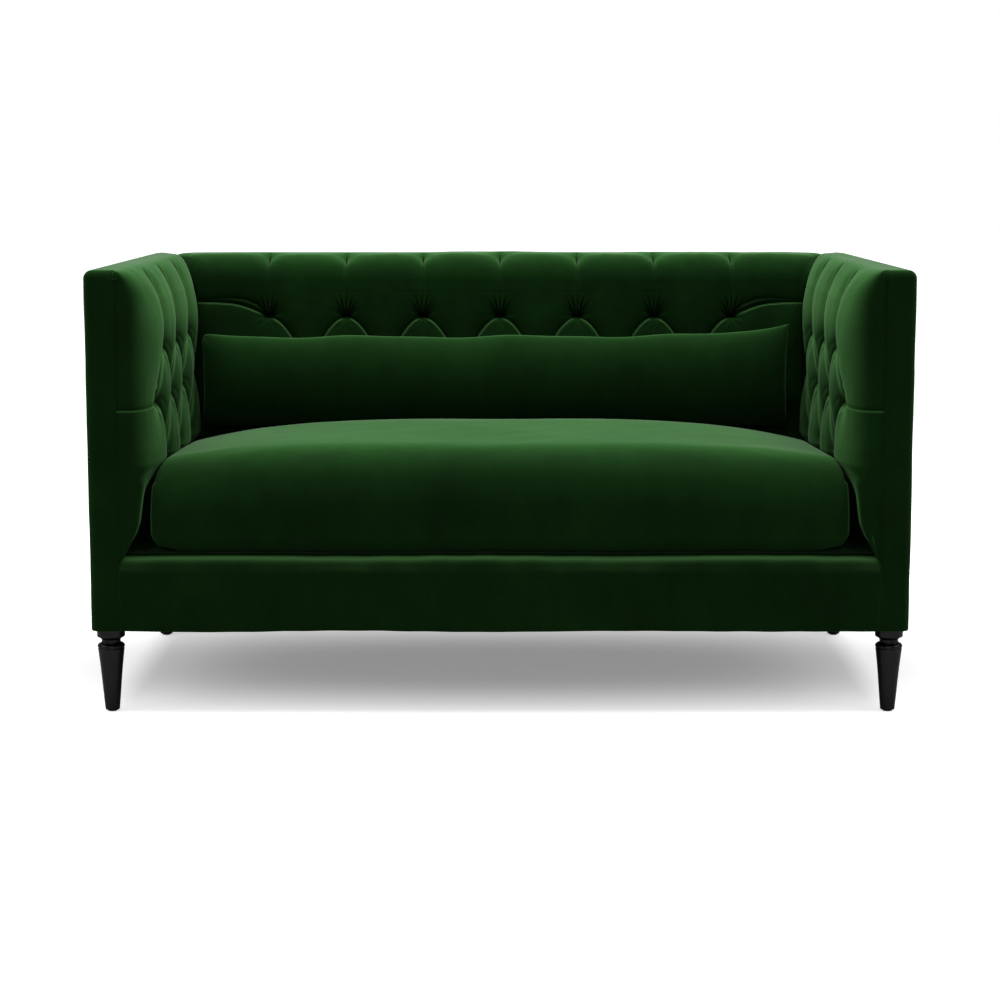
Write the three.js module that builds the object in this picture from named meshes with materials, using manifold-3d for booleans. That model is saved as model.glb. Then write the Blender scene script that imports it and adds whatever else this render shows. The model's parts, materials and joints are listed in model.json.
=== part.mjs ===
// A two-seat loveseat with straight arms as high as the back, diamond tufts inside,
// one bench cushion, one lumbar pillow and four turned legs. Millimetres, +Z up,
// front towards -Y, origin on the floor under the middle.
import * as THREE from 'three';
import { mergeVertices } from 'three/addons/utils/BufferGeometryUtils.js';
import Module from 'manifold-3d';

const wasm = await Module();
wasm.setup();

// Overall sizes
const width = 1524;
const depth = 914;
const height = 830;
const legHeight = 160;

// Clearance between neighbouring pieces, and how far a cutter runs past what it cuts
const fit = 0.3;
const overrun = 5;

// Covers
const panelThickness = 8;
const facingThickness = 18;
const backingThickness = 2.4;
const dustThickness = 1.5;
const capThickness = 25;
const edgeRadius = 16;
const borderRadius = 20;

// Wooden frame
const postSize = 45;
const railThickness = 32;
const railHeight = 110;
const topRailHeight = 45;
const tackRailHeight = 45;
const tackRailThickness = 25;
const tackRailRise = 10;
const bearerWidth = 45;
const bearerHeight = 60;
const blockReach = 70;
const blockHeight = 50;
const blockRise = 30;

// Springs and deck
const springCount = 6;
const springMargin = 183;
const springWire = 4;
const springSwing = 22;
const springBends = 22;
const springSeat = 16;
const tieCount = 2;
const tieWire = 3;
const tieOverhang = 40;
const deckThickness = 25;

// Tufting, shared by the inside arms and the inside back
const tuftPitch = 166;
const tuftRowSpacing = 115;
const tuftRowDrop = 135;
const tuftDepth = 18;
const tuftReach = 40;
const pleatDepth = 13;
const pleatReach = 34;
const roundRadius = 60;
const tuckRadius = 25;

// Inside arms
const armFrontThickness = 134;
const armRearThickness = 117;
const armSeatThickness = 112;
const armFirstTuft = 126;
const noseRadius = 70;
const noseRound = 5;
const noseThickness = 7;
const mitreSetback = 41;

// Inside back
const backThickness = 146;
const backSeatDrop = 10;

// Seat cushion
const cushionEndGap = 7;
const cushionFrontSetback = 15;
const cushionRearGap = 8;
const cushionThickness = 165;
const cushionCrown = 25;
const cushionEdge = 22;
const cushionBulge = 7;
const cushionDrawIn = 5;

// Lumbar pillow
const pillowEndGap = 24.5;
const pillowShift = -6;
const pillowHeight = 180;
const pillowThickness = 130;
const pillowEar = 16;
const pillowSideDraw = 14;
const pillowSeam = 4;

// Legs
const legCollarRadius = 26;
const legFrontSetback = 45;
const legRearSetback = 143;
const glideRadius = 9;
const glideHeight = 3;
const boltRadius = 4;
const boltInLeg = 30;
const boltInRail = 45;

// Counts for round and soft surfaces
const cornerSteps = 4;
const legSides = 12;
const boltSides = 8;
const columnsPerPitch = 6;
const cushionSegments = [20, 12, 4];
const pillowSegments = [26, 8];

// Shares: how much shallower a pleat is at the top of a pad, how far soft grids crowd to their
// ends, where the rounded nose of an arm has its outlines, and how steeply soft shapes turn
const topPleatShare = 0.4;
const crowdShare = 0.75;
const noseShares = [0, 0.04, 0.16, 0.36];
const edgePower = 8;
const crownPowers = [4, 3];

// Levels, from the floor up
const dustBottom = legHeight + fit;
const railBottom = dustBottom + dustThickness + fit;
const railTop = railBottom + railHeight;
const springLevel = railTop + fit + springWire / 2;
const springTop = springLevel + springWire / 2;
const tieLevel = springTop + fit + tieWire / 2;
const deckBottom = tieLevel + tieWire / 2 + fit;
const deckTop = deckBottom + deckThickness;
const padBottom = deckTop + fit;
const cushionBottom = deckTop + fit;
const cushionSeamTop = cushionBottom + cushionThickness;
const capBottom = height - capThickness;
const woodTop = capBottom - fit;
const topRailBottom = woodTop - topRailHeight;
const tackRailBottom = deckTop + tackRailRise;
const tackRailTop = tackRailBottom + tackRailHeight;
const firstRow = height - tuftRowDrop;

// Tuft rows go down to the first one that the seat cushion hides
const tuftRowCount = Math.ceil((firstRow - cushionSeamTop) / tuftRowSpacing) + 1;

// Places across, from the middle out
const halfWidth = width / 2;
const postOuter = halfWidth - panelThickness - fit;
const postInner = postOuter - postSize;
const backingOuter = postInner - fit;
const facingInner = backingOuter - backingThickness;
const armPadBack = facingInner - fit;
const legX = (postOuter + postInner) / 2;
const springSpan = 2 * (backingOuter - springMargin);
const springSpacing = springSpan / (springCount - 1);
const cushionWidth = 2 * (halfWidth - armSeatThickness - cushionEndGap);
const pillowWidth = 2 * (halfWidth - armRearThickness - pillowEndGap);

// Places along, from the front plane to the rear plane
const frontY = -depth / 2;
const rearY = depth / 2;
const coverBack = frontY + facingThickness;
const frontWood = coverBack + fit;
const frontRailBack = frontWood + railThickness;
const frontPostBack = frontWood + postSize;
const rearWood = rearY - panelThickness - fit;
const rearPostFront = rearWood - postSize;
const rearRailFront = rearWood - railThickness;
const backingRear = rearPostFront - fit;
const backPadRear = backingRear - backingThickness - fit;
const backFace = rearY - backThickness;
const legYs = [frontY + legFrontSetback, rearY - legRearSetback];

const group = new THREE.Group();

// Materials
function material(colour, roughness, metalness) {
  return new THREE.MeshStandardMaterial({ color: colour, roughness, metalness });
}

const velvet = () => material(0x17331a, 0.85, 0);
const wood = () => material(0xb08a5a, 0.7, 0);
const steel = () => material(0x8c8f92, 0.35, 0.9);
const hessian = () => material(0xa08c62, 0.95, 0);
const darkCloth = () => material(0x161616, 0.95, 0);
const blackLacquer = () => material(0x171717, 0.3, 0);
const blackPlastic = () => material(0x202020, 0.6, 0);

function add(name, geometry, look, x = 0, y = 0, z = 0) {
  const mesh = new THREE.Mesh(geometry, look);
  mesh.name = name;
  mesh.position.set(x, y, z);
  group.add(mesh);
  return mesh;
}

// A block between two corners, kept in place by its mesh's position
function board(name, from, to, look) {
  const size = to.map((value, axis) => value - from[axis]);
  const middle = to.map((value, axis) => (value + from[axis]) / 2);
  return add(name, new THREE.BoxGeometry(...size), look, ...middle);
}

// The geometry of a block between two corners, in the part's own frame
function blockGeometry(from, to) {
  const size = to.map((value, axis) => value - from[axis]);
  const middle = to.map((value, axis) => (value + from[axis]) / 2);
  return new THREE.BoxGeometry(...size).translate(...middle);
}

// A closed geometry from points and triangles, turned to face out
function closedGeometry(points, triangles) {
  let volume = 0;
  const cross = new THREE.Vector3();
  for (const [a, b, c] of triangles) {
    volume += points[a].dot(cross.crossVectors(points[b], points[c]));
  }
  const facing = volume < 0 ? triangles.map(([a, b, c]) => [a, c, b]) : triangles;
  const geometry = new THREE.BufferGeometry();
  const coordinates = points.flatMap((point) => point.toArray());
  geometry.setAttribute('position', new THREE.Float32BufferAttribute(coordinates, 3));
  geometry.setIndex(facing.flat());
  return geometry;
}

// A solid through a row of closed outlines with as many points each. flatten gives an outline's
// two coordinates in the plane of the end caps.
function loft(outlines, flatten) {
  const count = outlines[0].length;
  const points = outlines.flat();
  const triangles = [];
  for (let i = 0; i + 1 < outlines.length; i += 1) {
    for (let j = 0; j < count; j += 1) {
      const next = (j + 1) % count;
      const a = i * count + j;
      const b = i * count + next;
      triangles.push([a, b, a + count], [b, b + count, a + count]);
    }
  }
  const caps = [
    [outlines[0], 0],
    [outlines[outlines.length - 1], (outlines.length - 1) * count],
  ];
  for (const [outline, first] of caps) {
    for (const corners of THREE.ShapeUtils.triangulateShape(outline.map(flatten), [])) {
      triangles.push(corners.map((corner) => first + corner));
    }
  }
  return alignedGeometry(points, triangles);
}

// Turns triangles so that neighbours agree, and then the whole so that it faces out
function alignedGeometry(points, triangles) {
  const byEdge = new Map();
  const edgeKey = (a, b) => (a < b ? `${a}_${b}` : `${b}_${a}`);
  triangles.forEach((triangle, index) => {
    triangle.forEach((corner, side) => {
      const key = edgeKey(corner, triangle[(side + 1) % 3]);
      byEdge.set(key, [...(byEdge.get(key) ?? []), index]);
    });
  });
  const runs = (triangle, from, to) => triangle[(triangle.indexOf(from) + 1) % 3] === to;
  const turned = triangles.map((triangle) => [...triangle]);
  const seen = new Set([0]);
  const queue = [0];
  while (queue.length) {
    const index = queue.pop();
    const triangle = turned[index];
    for (let side = 0; side < 3; side += 1) {
      const from = triangle[side];
      const to = triangle[(side + 1) % 3];
      for (const other of byEdge.get(edgeKey(from, to))) {
        if (seen.has(other)) continue;
        if (runs(turned[other], from, to)) turned[other].reverse();
        seen.add(other);
        queue.push(other);
      }
    }
  }
  return closedGeometry(points, turned);
}

// Between three.js geometries and solids that can be cut and joined
function toSolid(geometry) {
  const bare = geometry.clone();
  bare.deleteAttribute('normal');
  bare.deleteAttribute('uv');
  const merged = mergeVertices(bare);
  const vertProperties = new Float32Array(merged.attributes.position.array);
  const triVerts = new Uint32Array(merged.index.array);
  return new wasm.Manifold(new wasm.Mesh({ numProp: 3, vertProperties, triVerts }));
}

function toGeometry(solid) {
  const { vertProperties, triVerts } = solid.getMesh();
  const geometry = new THREE.BufferGeometry();
  geometry.setAttribute('position', new THREE.BufferAttribute(new Float32Array(vertProperties), 3));
  geometry.setIndex(new THREE.BufferAttribute(new Uint32Array(triVerts), 1));
  return geometry;
}

// The same geometry on the other side of the middle plane
function mirrored(geometry) {
  const copy = geometry.clone();
  copy.scale(-1, 1, 1);
  const corners = Array.from(copy.index.array);
  for (let i = 0; i < corners.length; i += 3) {
    [corners[i + 1], corners[i + 2]] = [corners[i + 2], corners[i + 1]];
  }
  copy.setIndex(corners);
  return copy;
}

// How far a quarter circle has drawn back at a distance from the edge that it rounds
function roundInset(distance, radius) {
  const left = Math.max(0, radius - distance);
  return radius - Math.sqrt(radius * radius - left * left);
}

function blend(from, to, share) {
  return from + (to - from) * share;
}

function smooth(share) {
  const held = THREE.MathUtils.clamp(share, 0, 1);
  return held * held * (3 - 2 * held);
}

// The whole body's outside, with rounded upright corners and a rounded top edge
function bodyEnvelope() {
  const levels = [[legHeight - overrun, 0]];
  for (let step = 0; step <= cornerSteps; step += 1) {
    const angle = (step / cornerSteps) * (Math.PI / 2);
    levels.push([height - edgeRadius + edgeRadius * Math.sin(angle), edgeRadius * (1 - Math.cos(angle))]);
  }
  const outlines = levels.map(([z, inset]) => {
    const outline = [];
    for (let corner = 0; corner < 4; corner += 1) {
      const sideX = corner === 0 || corner === 3 ? 1 : -1;
      const sideY = corner < 2 ? 1 : -1;
      const centreX = sideX * (halfWidth - edgeRadius);
      const centreY = sideY * (depth / 2 - edgeRadius);
      const radius = Math.max(edgeRadius - inset, fit);
      for (let step = 0; step <= cornerSteps; step += 1) {
        const angle = (corner + step / cornerSteps) * (Math.PI / 2);
        const x = centreX + radius * Math.cos(angle);
        const y = centreY + radius * Math.sin(angle);
        outline.push(new THREE.Vector3(x, y, z));
      }
    }
    return outline;
  });
  return toSolid(loft(outlines, (p) => new THREE.Vector2(p.x, p.y)));
}

const envelope = bodyEnvelope();

// Tufting. A tuft row lies every tuftRowSpacing below firstRow, each row half a pitch off the last.
// From a tuft, pleats fall to the two tufts below it in a bell curve, and the first row's pleats
// run straight up and over the edge.
function reachShare(distance, reach) {
  const share = Math.max(0, 1 - distance / reach);
  return share * share;
}

function nearestTuft(along, first, row) {
  const phase = first + (row % 2) * (tuftPitch / 2);
  return Math.abs(along - phase - Math.round((along - phase) / tuftPitch) * tuftPitch);
}

function tuftInset(along, level, first) {
  const lastRow = firstRow - (tuftRowCount - 1) * tuftRowSpacing;
  let inset = 0;
  for (let row = 0; row < tuftRowCount; row += 1) {
    const rise = level - (firstRow - row * tuftRowSpacing);
    const away = Math.hypot(nearestTuft(along, first, row), rise);
    inset = Math.max(inset, tuftDepth * reachShare(away, tuftReach));
  }
  let apart = pleatReach;
  if (level >= firstRow) {
    apart = nearestTuft(along, first, 0);
  } else if (level > lastRow) {
    const row = Math.floor((firstRow - level) / tuftRowSpacing);
    const drop = firstRow - row * tuftRowSpacing - level;
    const side = nearestTuft(along, first, row);
    const curveDrop = tuftRowSpacing * (side / (tuftPitch / 2)) ** 2;
    const curveSide = (tuftPitch / 2) * Math.sqrt(drop / tuftRowSpacing);
    const down = Math.abs(drop - curveDrop);
    const over = Math.abs(side - curveSide);
    apart = down + over > 0 ? (down * over) / Math.hypot(down, over) : 0;
  }
  return inset + pleatDepth * reachShare(apart, pleatReach);
}

// The levels of a pad's face, from the start of its top round down to its foot. Between two rows
// they fall where the bell curve crosses the columns.
function faceLevels() {
  const levels = [(height - roundRadius + firstRow) / 2];
  const steps = columnsPerPitch / 2;
  for (let row = 0; row + 1 < tuftRowCount; row += 1) {
    for (let step = 0; step < steps; step += 1) {
      levels.push(firstRow - (row + (step / steps) ** 2) * tuftRowSpacing);
    }
  }
  const last = firstRow - (tuftRowCount - 1) * tuftRowSpacing;
  levels.push(last, (last + padBottom + tuckRadius) / 2, padBottom + tuckRadius);
  return levels;
}

// One outline across a pad. reach is how far the face stands in front of the pad's far edge, as a
// function of the level. The place is told by two numbers: the distance from the far edge and the level.
function padOutline({ along, first, reach, back, round, tucks, tuck }) {
  const top = height;
  const face = reach(top - round);
  const outline = [
    [0, capBottom],
    [0, top],
    [(face - round) / 2, top],
  ];
  const arcLength = (round * Math.PI) / 2;
  for (let step = 0; step <= cornerSteps; step += 1) {
    const angle = (step / cornerSteps) * (Math.PI / 2);
    const pathLevel = top - round + arcLength - angle * round;
    const fade = blend(topPleatShare, 1, smooth((2 * step) / cornerSteps));
    const radius = round - tucks * fade * tuftInset(along, pathLevel, first);
    outline.push([face - round + radius * Math.sin(angle), top - round + radius * Math.cos(angle)]);
  }
  for (const level of faceLevels()) {
    outline.push([reach(level) - tucks * tuftInset(along, level, first), level]);
  }
  outline.push([reach(padBottom) - tuck, padBottom], [back, padBottom], [back, capBottom]);
  return outline;
}

// Even places along a pad, in steps of a share of the pitch, that hit every tuft
function padColumns(first, from, to) {
  const step = tuftPitch / columnsPerPitch;
  const columns = [];
  for (let at = first - Math.floor((first - from) / step) * step; at <= to; at += step) {
    columns.push(at);
  }
  return columns;
}

// Inside arm: the face leans out a little to the rear, stands back beside the seat cushion, and
// rounds off at the front into the seam of the arm facing
function armReach(along) {
  const rearShare = THREE.MathUtils.clamp(along / (depth - backThickness), 0, 1);
  const faceReach = blend(armFrontThickness, armRearThickness, rearShare);
  const nose = roundInset(along, noseRadius) / noseRadius;
  return (level) => {
    const share = smooth((level - cushionSeamTop) / (tuftRowSpacing / 2));
    const full = blend(armSeatThickness, faceReach, share);
    return blend(full, halfWidth - armPadBack + noseThickness, nose);
  };
}

const mitreInner = [halfWidth - armRearThickness, backFace];
const mitreOuter = [halfWidth - mitreSetback, rearY];

// The wedge of plan that the inside back keeps, drawn in by a gap at both mitres
function mitreWedge(gap) {
  const slope = (mitreOuter[0] - mitreInner[0]) / (mitreOuter[1] - mitreInner[1]);
  const halfAt = (y) => mitreInner[0] + slope * (y - mitreInner[1]) - gap;
  const from = mitreInner[1] - fit;
  const to = rearY + overrun;
  const shape = new THREE.Shape([
    new THREE.Vector2(-halfAt(from), from),
    new THREE.Vector2(halfAt(from), from),
    new THREE.Vector2(halfAt(to), to),
    new THREE.Vector2(-halfAt(to), to),
  ]);
  const tall = height + 2 * overrun;
  const prism = new THREE.ExtrudeGeometry(shape, { depth: tall, bevelEnabled: false });
  return toSolid(prism.translate(0, 0, -overrun));
}

function insideArm() {
  const noseStops = noseShares.map((share) => share * noseRadius);
  const stops = [...noseStops, ...padColumns(armFirstTuft, noseRadius / 2, depth - edgeRadius), depth];
  const outlines = stops.map((along) => {
    const nose = roundInset(along, noseRadius) / noseRadius;
    const outline = padOutline({
      along,
      first: armFirstTuft,
      reach: armReach(along),
      back: halfWidth - armPadBack,
      round: blend(roundRadius, noseRound, nose),
      tucks: smooth(along / noseRadius),
      tuck: tuckRadius * (1 - nose),
    });
    return outline.map(([across, z]) => new THREE.Vector3(halfWidth - across, frontY + along, z));
  });
  const facingRoom = blockGeometry(
    [armPadBack, frontY - overrun, 0],
    [halfWidth + overrun, coverBack + fit, height + overrun],
  );
  const rearRoom = blockGeometry([0, backPadRear, 0], [armPadBack + fit, rearY + overrun, capBottom]);
  const pad = toSolid(loft(outlines, (p) => new THREE.Vector2(p.x, p.z)));
  return toGeometry(
    pad
      .intersect(envelope)
      .subtract(toSolid(facingRoom))
      .subtract(toSolid(rearRoom))
      .subtract(mitreWedge(0)),
  );
}

// Inside back: between the arms, with a mitre at each end
function backReach(level) {
  const share = smooth((level - cushionSeamTop) / (tuftRowSpacing / 2));
  return backThickness - backSeatDrop * (1 - share);
}

function insideBack() {
  const first = 0;
  const half = mitreOuter[0] + overrun;
  const stops = [-half, ...padColumns(first, overrun - half, half - overrun), half];
  const outlines = stops.map((along) => {
    const outline = padOutline({
      along,
      first,
      reach: backReach,
      back: rearY - backPadRear,
      round: roundRadius,
      tucks: 1,
      tuck: tuckRadius,
    });
    return outline.map(([across, z]) => new THREE.Vector3(along, rearY - across, z));
  });
  const pad = toSolid(loft(outlines, (p) => new THREE.Vector2(p.y, p.z)));
  return toGeometry(pad.intersect(envelope).intersect(mitreWedge(fit)));
}

const armPad = insideArm();
add('inside_arm_right', armPad, velvet());
add('inside_arm_left', mirrored(armPad), velvet());
add('inside_back', insideBack(), velvet());

// Outside covers, cut to the rounded outside of the body
function cover(from, to) {
  return toGeometry(toSolid(blockGeometry(from, to)).intersect(envelope));
}

const facing = cover([facingInner, frontY, legHeight], [halfWidth, coverBack, height]);
add('arm_facing_right', facing, velvet());
add('arm_facing_left', mirrored(facing), velvet());

const outsideArm = cover([halfWidth - panelThickness, frontWood, legHeight], [halfWidth, rearY, woodTop]);
add('outside_arm_right', outsideArm, velvet());
add('outside_arm_left', mirrored(outsideArm), velvet());

const outsideBack = cover([-postOuter, rearY - panelThickness, legHeight], [postOuter, rearY, woodTop]);
add('outside_back', outsideBack, velvet());

// Front border: down the front rail and back over its top, with a rounded edge
function frontBorder() {
  const shape = new THREE.Shape();
  shape.moveTo(frontY, legHeight);
  shape.lineTo(coverBack, legHeight);
  shape.lineTo(coverBack, springTop + fit);
  shape.lineTo(frontRailBack, springTop + fit);
  shape.lineTo(frontRailBack, deckTop);
  shape.lineTo(frontY + borderRadius, deckTop);
  shape.absarc(frontY + borderRadius, deckTop - borderRadius, borderRadius, Math.PI / 2, Math.PI, false);
  shape.closePath();
  const options = { depth: 2 * armPadBack, bevelEnabled: false, curveSegments: cornerSteps };
  const across = new THREE.Matrix4().makeBasis(
    new THREE.Vector3(0, 1, 0),
    new THREE.Vector3(0, 0, 1),
    new THREE.Vector3(1, 0, 0),
  );
  return new THREE.ExtrudeGeometry(shape, options).applyMatrix4(across).translate(-armPadBack, 0, 0);
}

add('front_border', frontBorder(), velvet());

// Upright pin of a given radius between two levels, used for bolts and for the holes they need
function pinGeometry(radius, from, to, sides, x, y) {
  const pin = new THREE.CylinderGeometry(radius, radius, to - from, sides);
  return pin.rotateX(Math.PI / 2).translate(x, y, (from + to) / 2);
}

const boltBottom = legHeight - fit - boltInLeg;
const boltTop = railBottom + boltInRail;

function drilled(geometry, holes) {
  return toGeometry(holes.reduce((solid, hole) => solid.subtract(toSolid(hole)), toSolid(geometry)));
}

function boltHoles(x) {
  const from = legHeight - overrun;
  return legYs.map((y) => pinGeometry(boltRadius + fit, from, boltTop + fit, boltSides, x, y));
}

// Dust cover under the frame, with a hole for each bolt
const dustSheet = blockGeometry(
  [-postOuter, frontWood, dustBottom],
  [postOuter, rearWood, dustBottom + dustThickness],
);
add('dust_cover', drilled(dustSheet, [...boltHoles(-legX), ...boltHoles(legX)]), darkCloth());

// Seat frame
board('front_rail', [-backingOuter, frontWood, railBottom], [backingOuter, frontRailBack, railTop], wood());
board('rear_rail', [-backingOuter, rearRailFront, railBottom], [backingOuter, rearWood, railTop], wood());
board(
  'centre_bearer',
  [-bearerWidth / 2, frontRailBack + fit, railBottom],
  [bearerWidth / 2, rearRailFront - fit, railBottom + bearerHeight],
  wood(),
);

// The inner corner of the seat frame, filled by a three-cornered block
function cornerBlock(side, end) {
  const x = side * backingOuter;
  const y = end < 0 ? frontRailBack + fit : rearRailFront - fit;
  const shape = new THREE.Shape([
    new THREE.Vector2(x, y),
    new THREE.Vector2(x - side * blockReach, y),
    new THREE.Vector2(x, y - end * blockReach),
  ]);
  const block = new THREE.ExtrudeGeometry(shape, { depth: blockHeight, bevelEnabled: false });
  return block.translate(0, 0, railBottom + blockRise);
}

for (const [sideName, side] of [['left', -1], ['right', 1]]) {
  const across = (a, b) => (side < 0 ? [-b, -a] : [a, b]);
  const [postFrom, postTo] = across(postInner, postOuter);
  const railBlock = blockGeometry([postFrom, frontWood, railBottom], [postTo, rearWood, railTop]);
  add(`side_rail_${sideName}`, drilled(railBlock, boltHoles(side * legX)), wood());
  for (const [endName, from, to] of [
    ['front', frontWood, frontPostBack],
    ['rear', rearPostFront, rearWood],
  ]) {
    board(
      `post_${endName}_${sideName}`,
      [postFrom, from, railTop + fit],
      [postTo, to, topRailBottom - fit],
      wood(),
    );
  }
  board(
    `arm_top_rail_${sideName}`,
    [postFrom, frontWood, topRailBottom],
    [postTo, rearWood, woodTop],
    wood(),
  );
  const [tackFrom, tackTo] = across(postInner, postInner + tackRailThickness);
  board(
    `arm_tack_rail_${sideName}`,
    [tackFrom, frontPostBack + fit, tackRailBottom],
    [tackTo, rearPostFront - fit, tackRailTop],
    wood(),
  );
  const [backingFrom, backingTo] = across(facingInner, backingOuter);
  board(
    `arm_backing_${sideName}`,
    [backingFrom, frontWood, padBottom],
    [backingTo, backPadRear, woodTop],
    hessian(),
  );
  for (const [endName, end] of [['front', -1], ['rear', 1]]) {
    add(`corner_block_${endName}_${sideName}`, cornerBlock(side, end), wood());
  }
}

// Back frame
board(
  'back_top_rail',
  [-backingOuter, rearPostFront, topRailBottom],
  [backingOuter, rearWood, woodTop],
  wood(),
);
board(
  'back_tack_rail',
  [-backingOuter, rearPostFront, tackRailBottom],
  [backingOuter, rearPostFront + tackRailThickness, tackRailTop],
  wood(),
);
board(
  'back_centre_post',
  [-bearerWidth / 2, rearPostFront, tackRailTop + fit],
  [bearerWidth / 2, rearWood, topRailBottom - fit],
  wood(),
);
board(
  'back_backing',
  [-backingOuter, backPadRear + fit, padBottom],
  [backingOuter, backingRear, woodTop],
  hessian(),
);

// Sinuous springs from the front rail to the rear rail
class ZigzagCurve extends THREE.Curve {
  constructor(x, from, to) {
    super();
    Object.assign(this, { x, from, to });
  }

  getPoint(share, target = new THREE.Vector3()) {
    const swing = springSwing * Math.sin(share * springBends * Math.PI);
    return target.set(this.x + swing, blend(this.from, this.to, share), springLevel);
  }
}

function wireSection(thickness) {
  const half = thickness / 2;
  return new THREE.Shape([
    new THREE.Vector2(-half, -half),
    new THREE.Vector2(half, -half),
    new THREE.Vector2(half, half),
    new THREE.Vector2(-half, half),
  ]);
}

for (let i = 0; i < springCount; i += 1) {
  const x = (i - (springCount - 1) / 2) * springSpacing;
  const path = new ZigzagCurve(x, frontRailBack - springSeat, rearRailFront + springSeat);
  const options = { extrudePath: path, steps: 2 * springBends, bevelEnabled: false };
  add(`seat_spring_${i + 1}`, new THREE.ExtrudeGeometry(wireSection(springWire), options), steel());
}

const tieLength = springSpan + 2 * tieOverhang;
for (let i = 0; i < tieCount; i += 1) {
  const share = (i + 1) / (tieCount + 1);
  const tie = new THREE.CylinderGeometry(tieWire / 2, tieWire / 2, tieLength, boltSides);
  tie.rotateZ(Math.PI / 2);
  add(`tie_wire_${i + 1}`, tie, steel(), 0, blend(frontRailBack, rearRailFront, share), tieLevel);
}

board(
  'deck_pad',
  [-backingOuter, frontRailBack + fit, deckBottom],
  [backingOuter, backingRear, deckTop],
  hessian(),
);

// Coordinates from -1 to 1 drawn towards both ends, where a soft shape turns most
function crowded(value) {
  return blend(value, Math.sin((value * Math.PI) / 2), crowdShare);
}

// How much of its crown a cushion has at a place on its top
function crownShare(u, v) {
  return (1 - Math.abs(u) ** crownPowers[0]) * (1 - Math.abs(v) ** crownPowers[1]);
}

// Bench cushion: rounded edges, a crown, sides that bulge and long edges drawn in
const cushionFront = frontY + cushionFrontSetback;
const cushionRear = backFace - cushionRearGap;
const cushionMiddleY = (cushionFront + cushionRear) / 2;

function benchCushion() {
  const box = new THREE.BoxGeometry(2, 2, 2, ...cushionSegments);
  box.deleteAttribute('normal');
  box.deleteAttribute('uv');
  const geometry = mergeVertices(box);
  const half = new THREE.Vector3(
    cushionWidth / 2 - cushionBulge,
    cushionMiddleY - cushionFront - cushionBulge,
    cushionThickness / 2,
  );
  const middle = new THREE.Vector3(0, cushionMiddleY, cushionBottom + half.z);
  const core = half.clone().subScalar(cushionEdge);
  const point = new THREE.Vector3();
  const held = new THREE.Vector3();
  const position = geometry.attributes.position;
  for (let i = 0; i < position.count; i += 1) {
    point.fromBufferAttribute(position, i);
    const [u, v, w] = point.toArray().map(crowded);
    point.set(u, v, w).multiply(half);
    held.copy(point).clamp(core.clone().negate(), core);
    point.sub(held).normalize().multiplyScalar(cushionEdge).add(held);
    const belly = 1 - w * w;
    const swell = (along, across) => {
      const drawIn = cushionDrawIn * (1 - across * across) * (1 - belly);
      return Math.sign(along) * Math.abs(along) ** edgePower * (cushionBulge * belly - drawIn);
    };
    point.x += swell(u, v);
    point.y += swell(v, u);
    point.z += cushionCrown * crownShare(u, v) * Math.max(0, w);
    point.add(middle);
    position.setXYZ(i, ...point.toArray());
  }
  return geometry;
}

add('seat_cushion', benchCushion(), velvet());

// Lumbar pillow: two bellied faces on a thin seam, with ears at its upper corners. Its foot is
// straight and stands on the crown of the seat cushion.
const pillowRear = backFace - fit;
const pillowMiddleY = pillowRear - pillowThickness / 2;
const pillowFootY = pillowMiddleY - pillowSeam / 2;
const pillowFootShare = (pillowFootY - cushionMiddleY) / (cushionRear - cushionMiddleY);
const pillowBottom = cushionSeamTop + cushionCrown * crownShare(0, pillowFootShare) + fit;

function lumbarPillow() {
  const [columns, rows] = pillowSegments;
  const points = [];
  const faceSide = (side) => {
    for (let row = 0; row <= rows; row += 1) {
      for (let column = 0; column <= columns; column += 1) {
        const u = crowded((2 * column) / columns - 1);
        const v = crowded((2 * row) / rows - 1);
        const belly = Math.sqrt((1 - u ** edgePower) * (1 - v ** crownPowers[0]));
        const halfX = pillowWidth / 2 - pillowSideDraw * (1 - v * v);
        const ear = pillowEar * u ** edgePower * smooth((v + 1) / 2);
        const y = side * blend(pillowSeam / 2, pillowThickness / 2, belly);
        const z = pillowBottom + ((v + 1) / 2) * pillowHeight + ear;
        points.push(new THREE.Vector3(pillowShift + u * halfX, pillowMiddleY + y, z));
      }
    }
  };
  faceSide(-1);
  faceSide(1);
  const stride = columns + 1;
  const sheet = stride * (rows + 1);
  const triangles = [];
  for (let row = 0; row < rows; row += 1) {
    for (let column = 0; column < columns; column += 1) {
      const a = row * stride + column;
      for (const start of [a, a + sheet]) {
        triangles.push([start, start + 1, start + stride], [start + 1, start + stride + 1, start + stride]);
      }
    }
  }
  const rim = [];
  for (let column = 0; column < columns; column += 1) rim.push(column);
  for (let row = 0; row < rows; row += 1) rim.push(row * stride + columns);
  for (let column = columns; column > 0; column -= 1) rim.push(rows * stride + column);
  for (let row = rows; row > 0; row -= 1) rim.push(row * stride);
  rim.forEach((a, index) => {
    const b = rim[(index + 1) % rim.length];
    triangles.push([a, b, a + sheet], [b, b + sheet, a + sheet]);
  });
  return alignedGeometry(points, triangles);
}

add('lumbar_pillow', lumbarPillow(), velvet());

// Turned leg, as shares of its collar radius and its height, from the foot up
const legProfileShares = [
  [0.5, 0],
  [0.54, 0.012],
  [0.946, 0.816],
  [0.89, 0.826],
  [0.973, 0.85],
  [0.86, 0.88],
  [0.69, 0.905],
  [0.76, 0.93],
  [0.96, 0.955],
  [1, 0.972],
  [1, 0.99],
  [0.97, 1],
];

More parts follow.
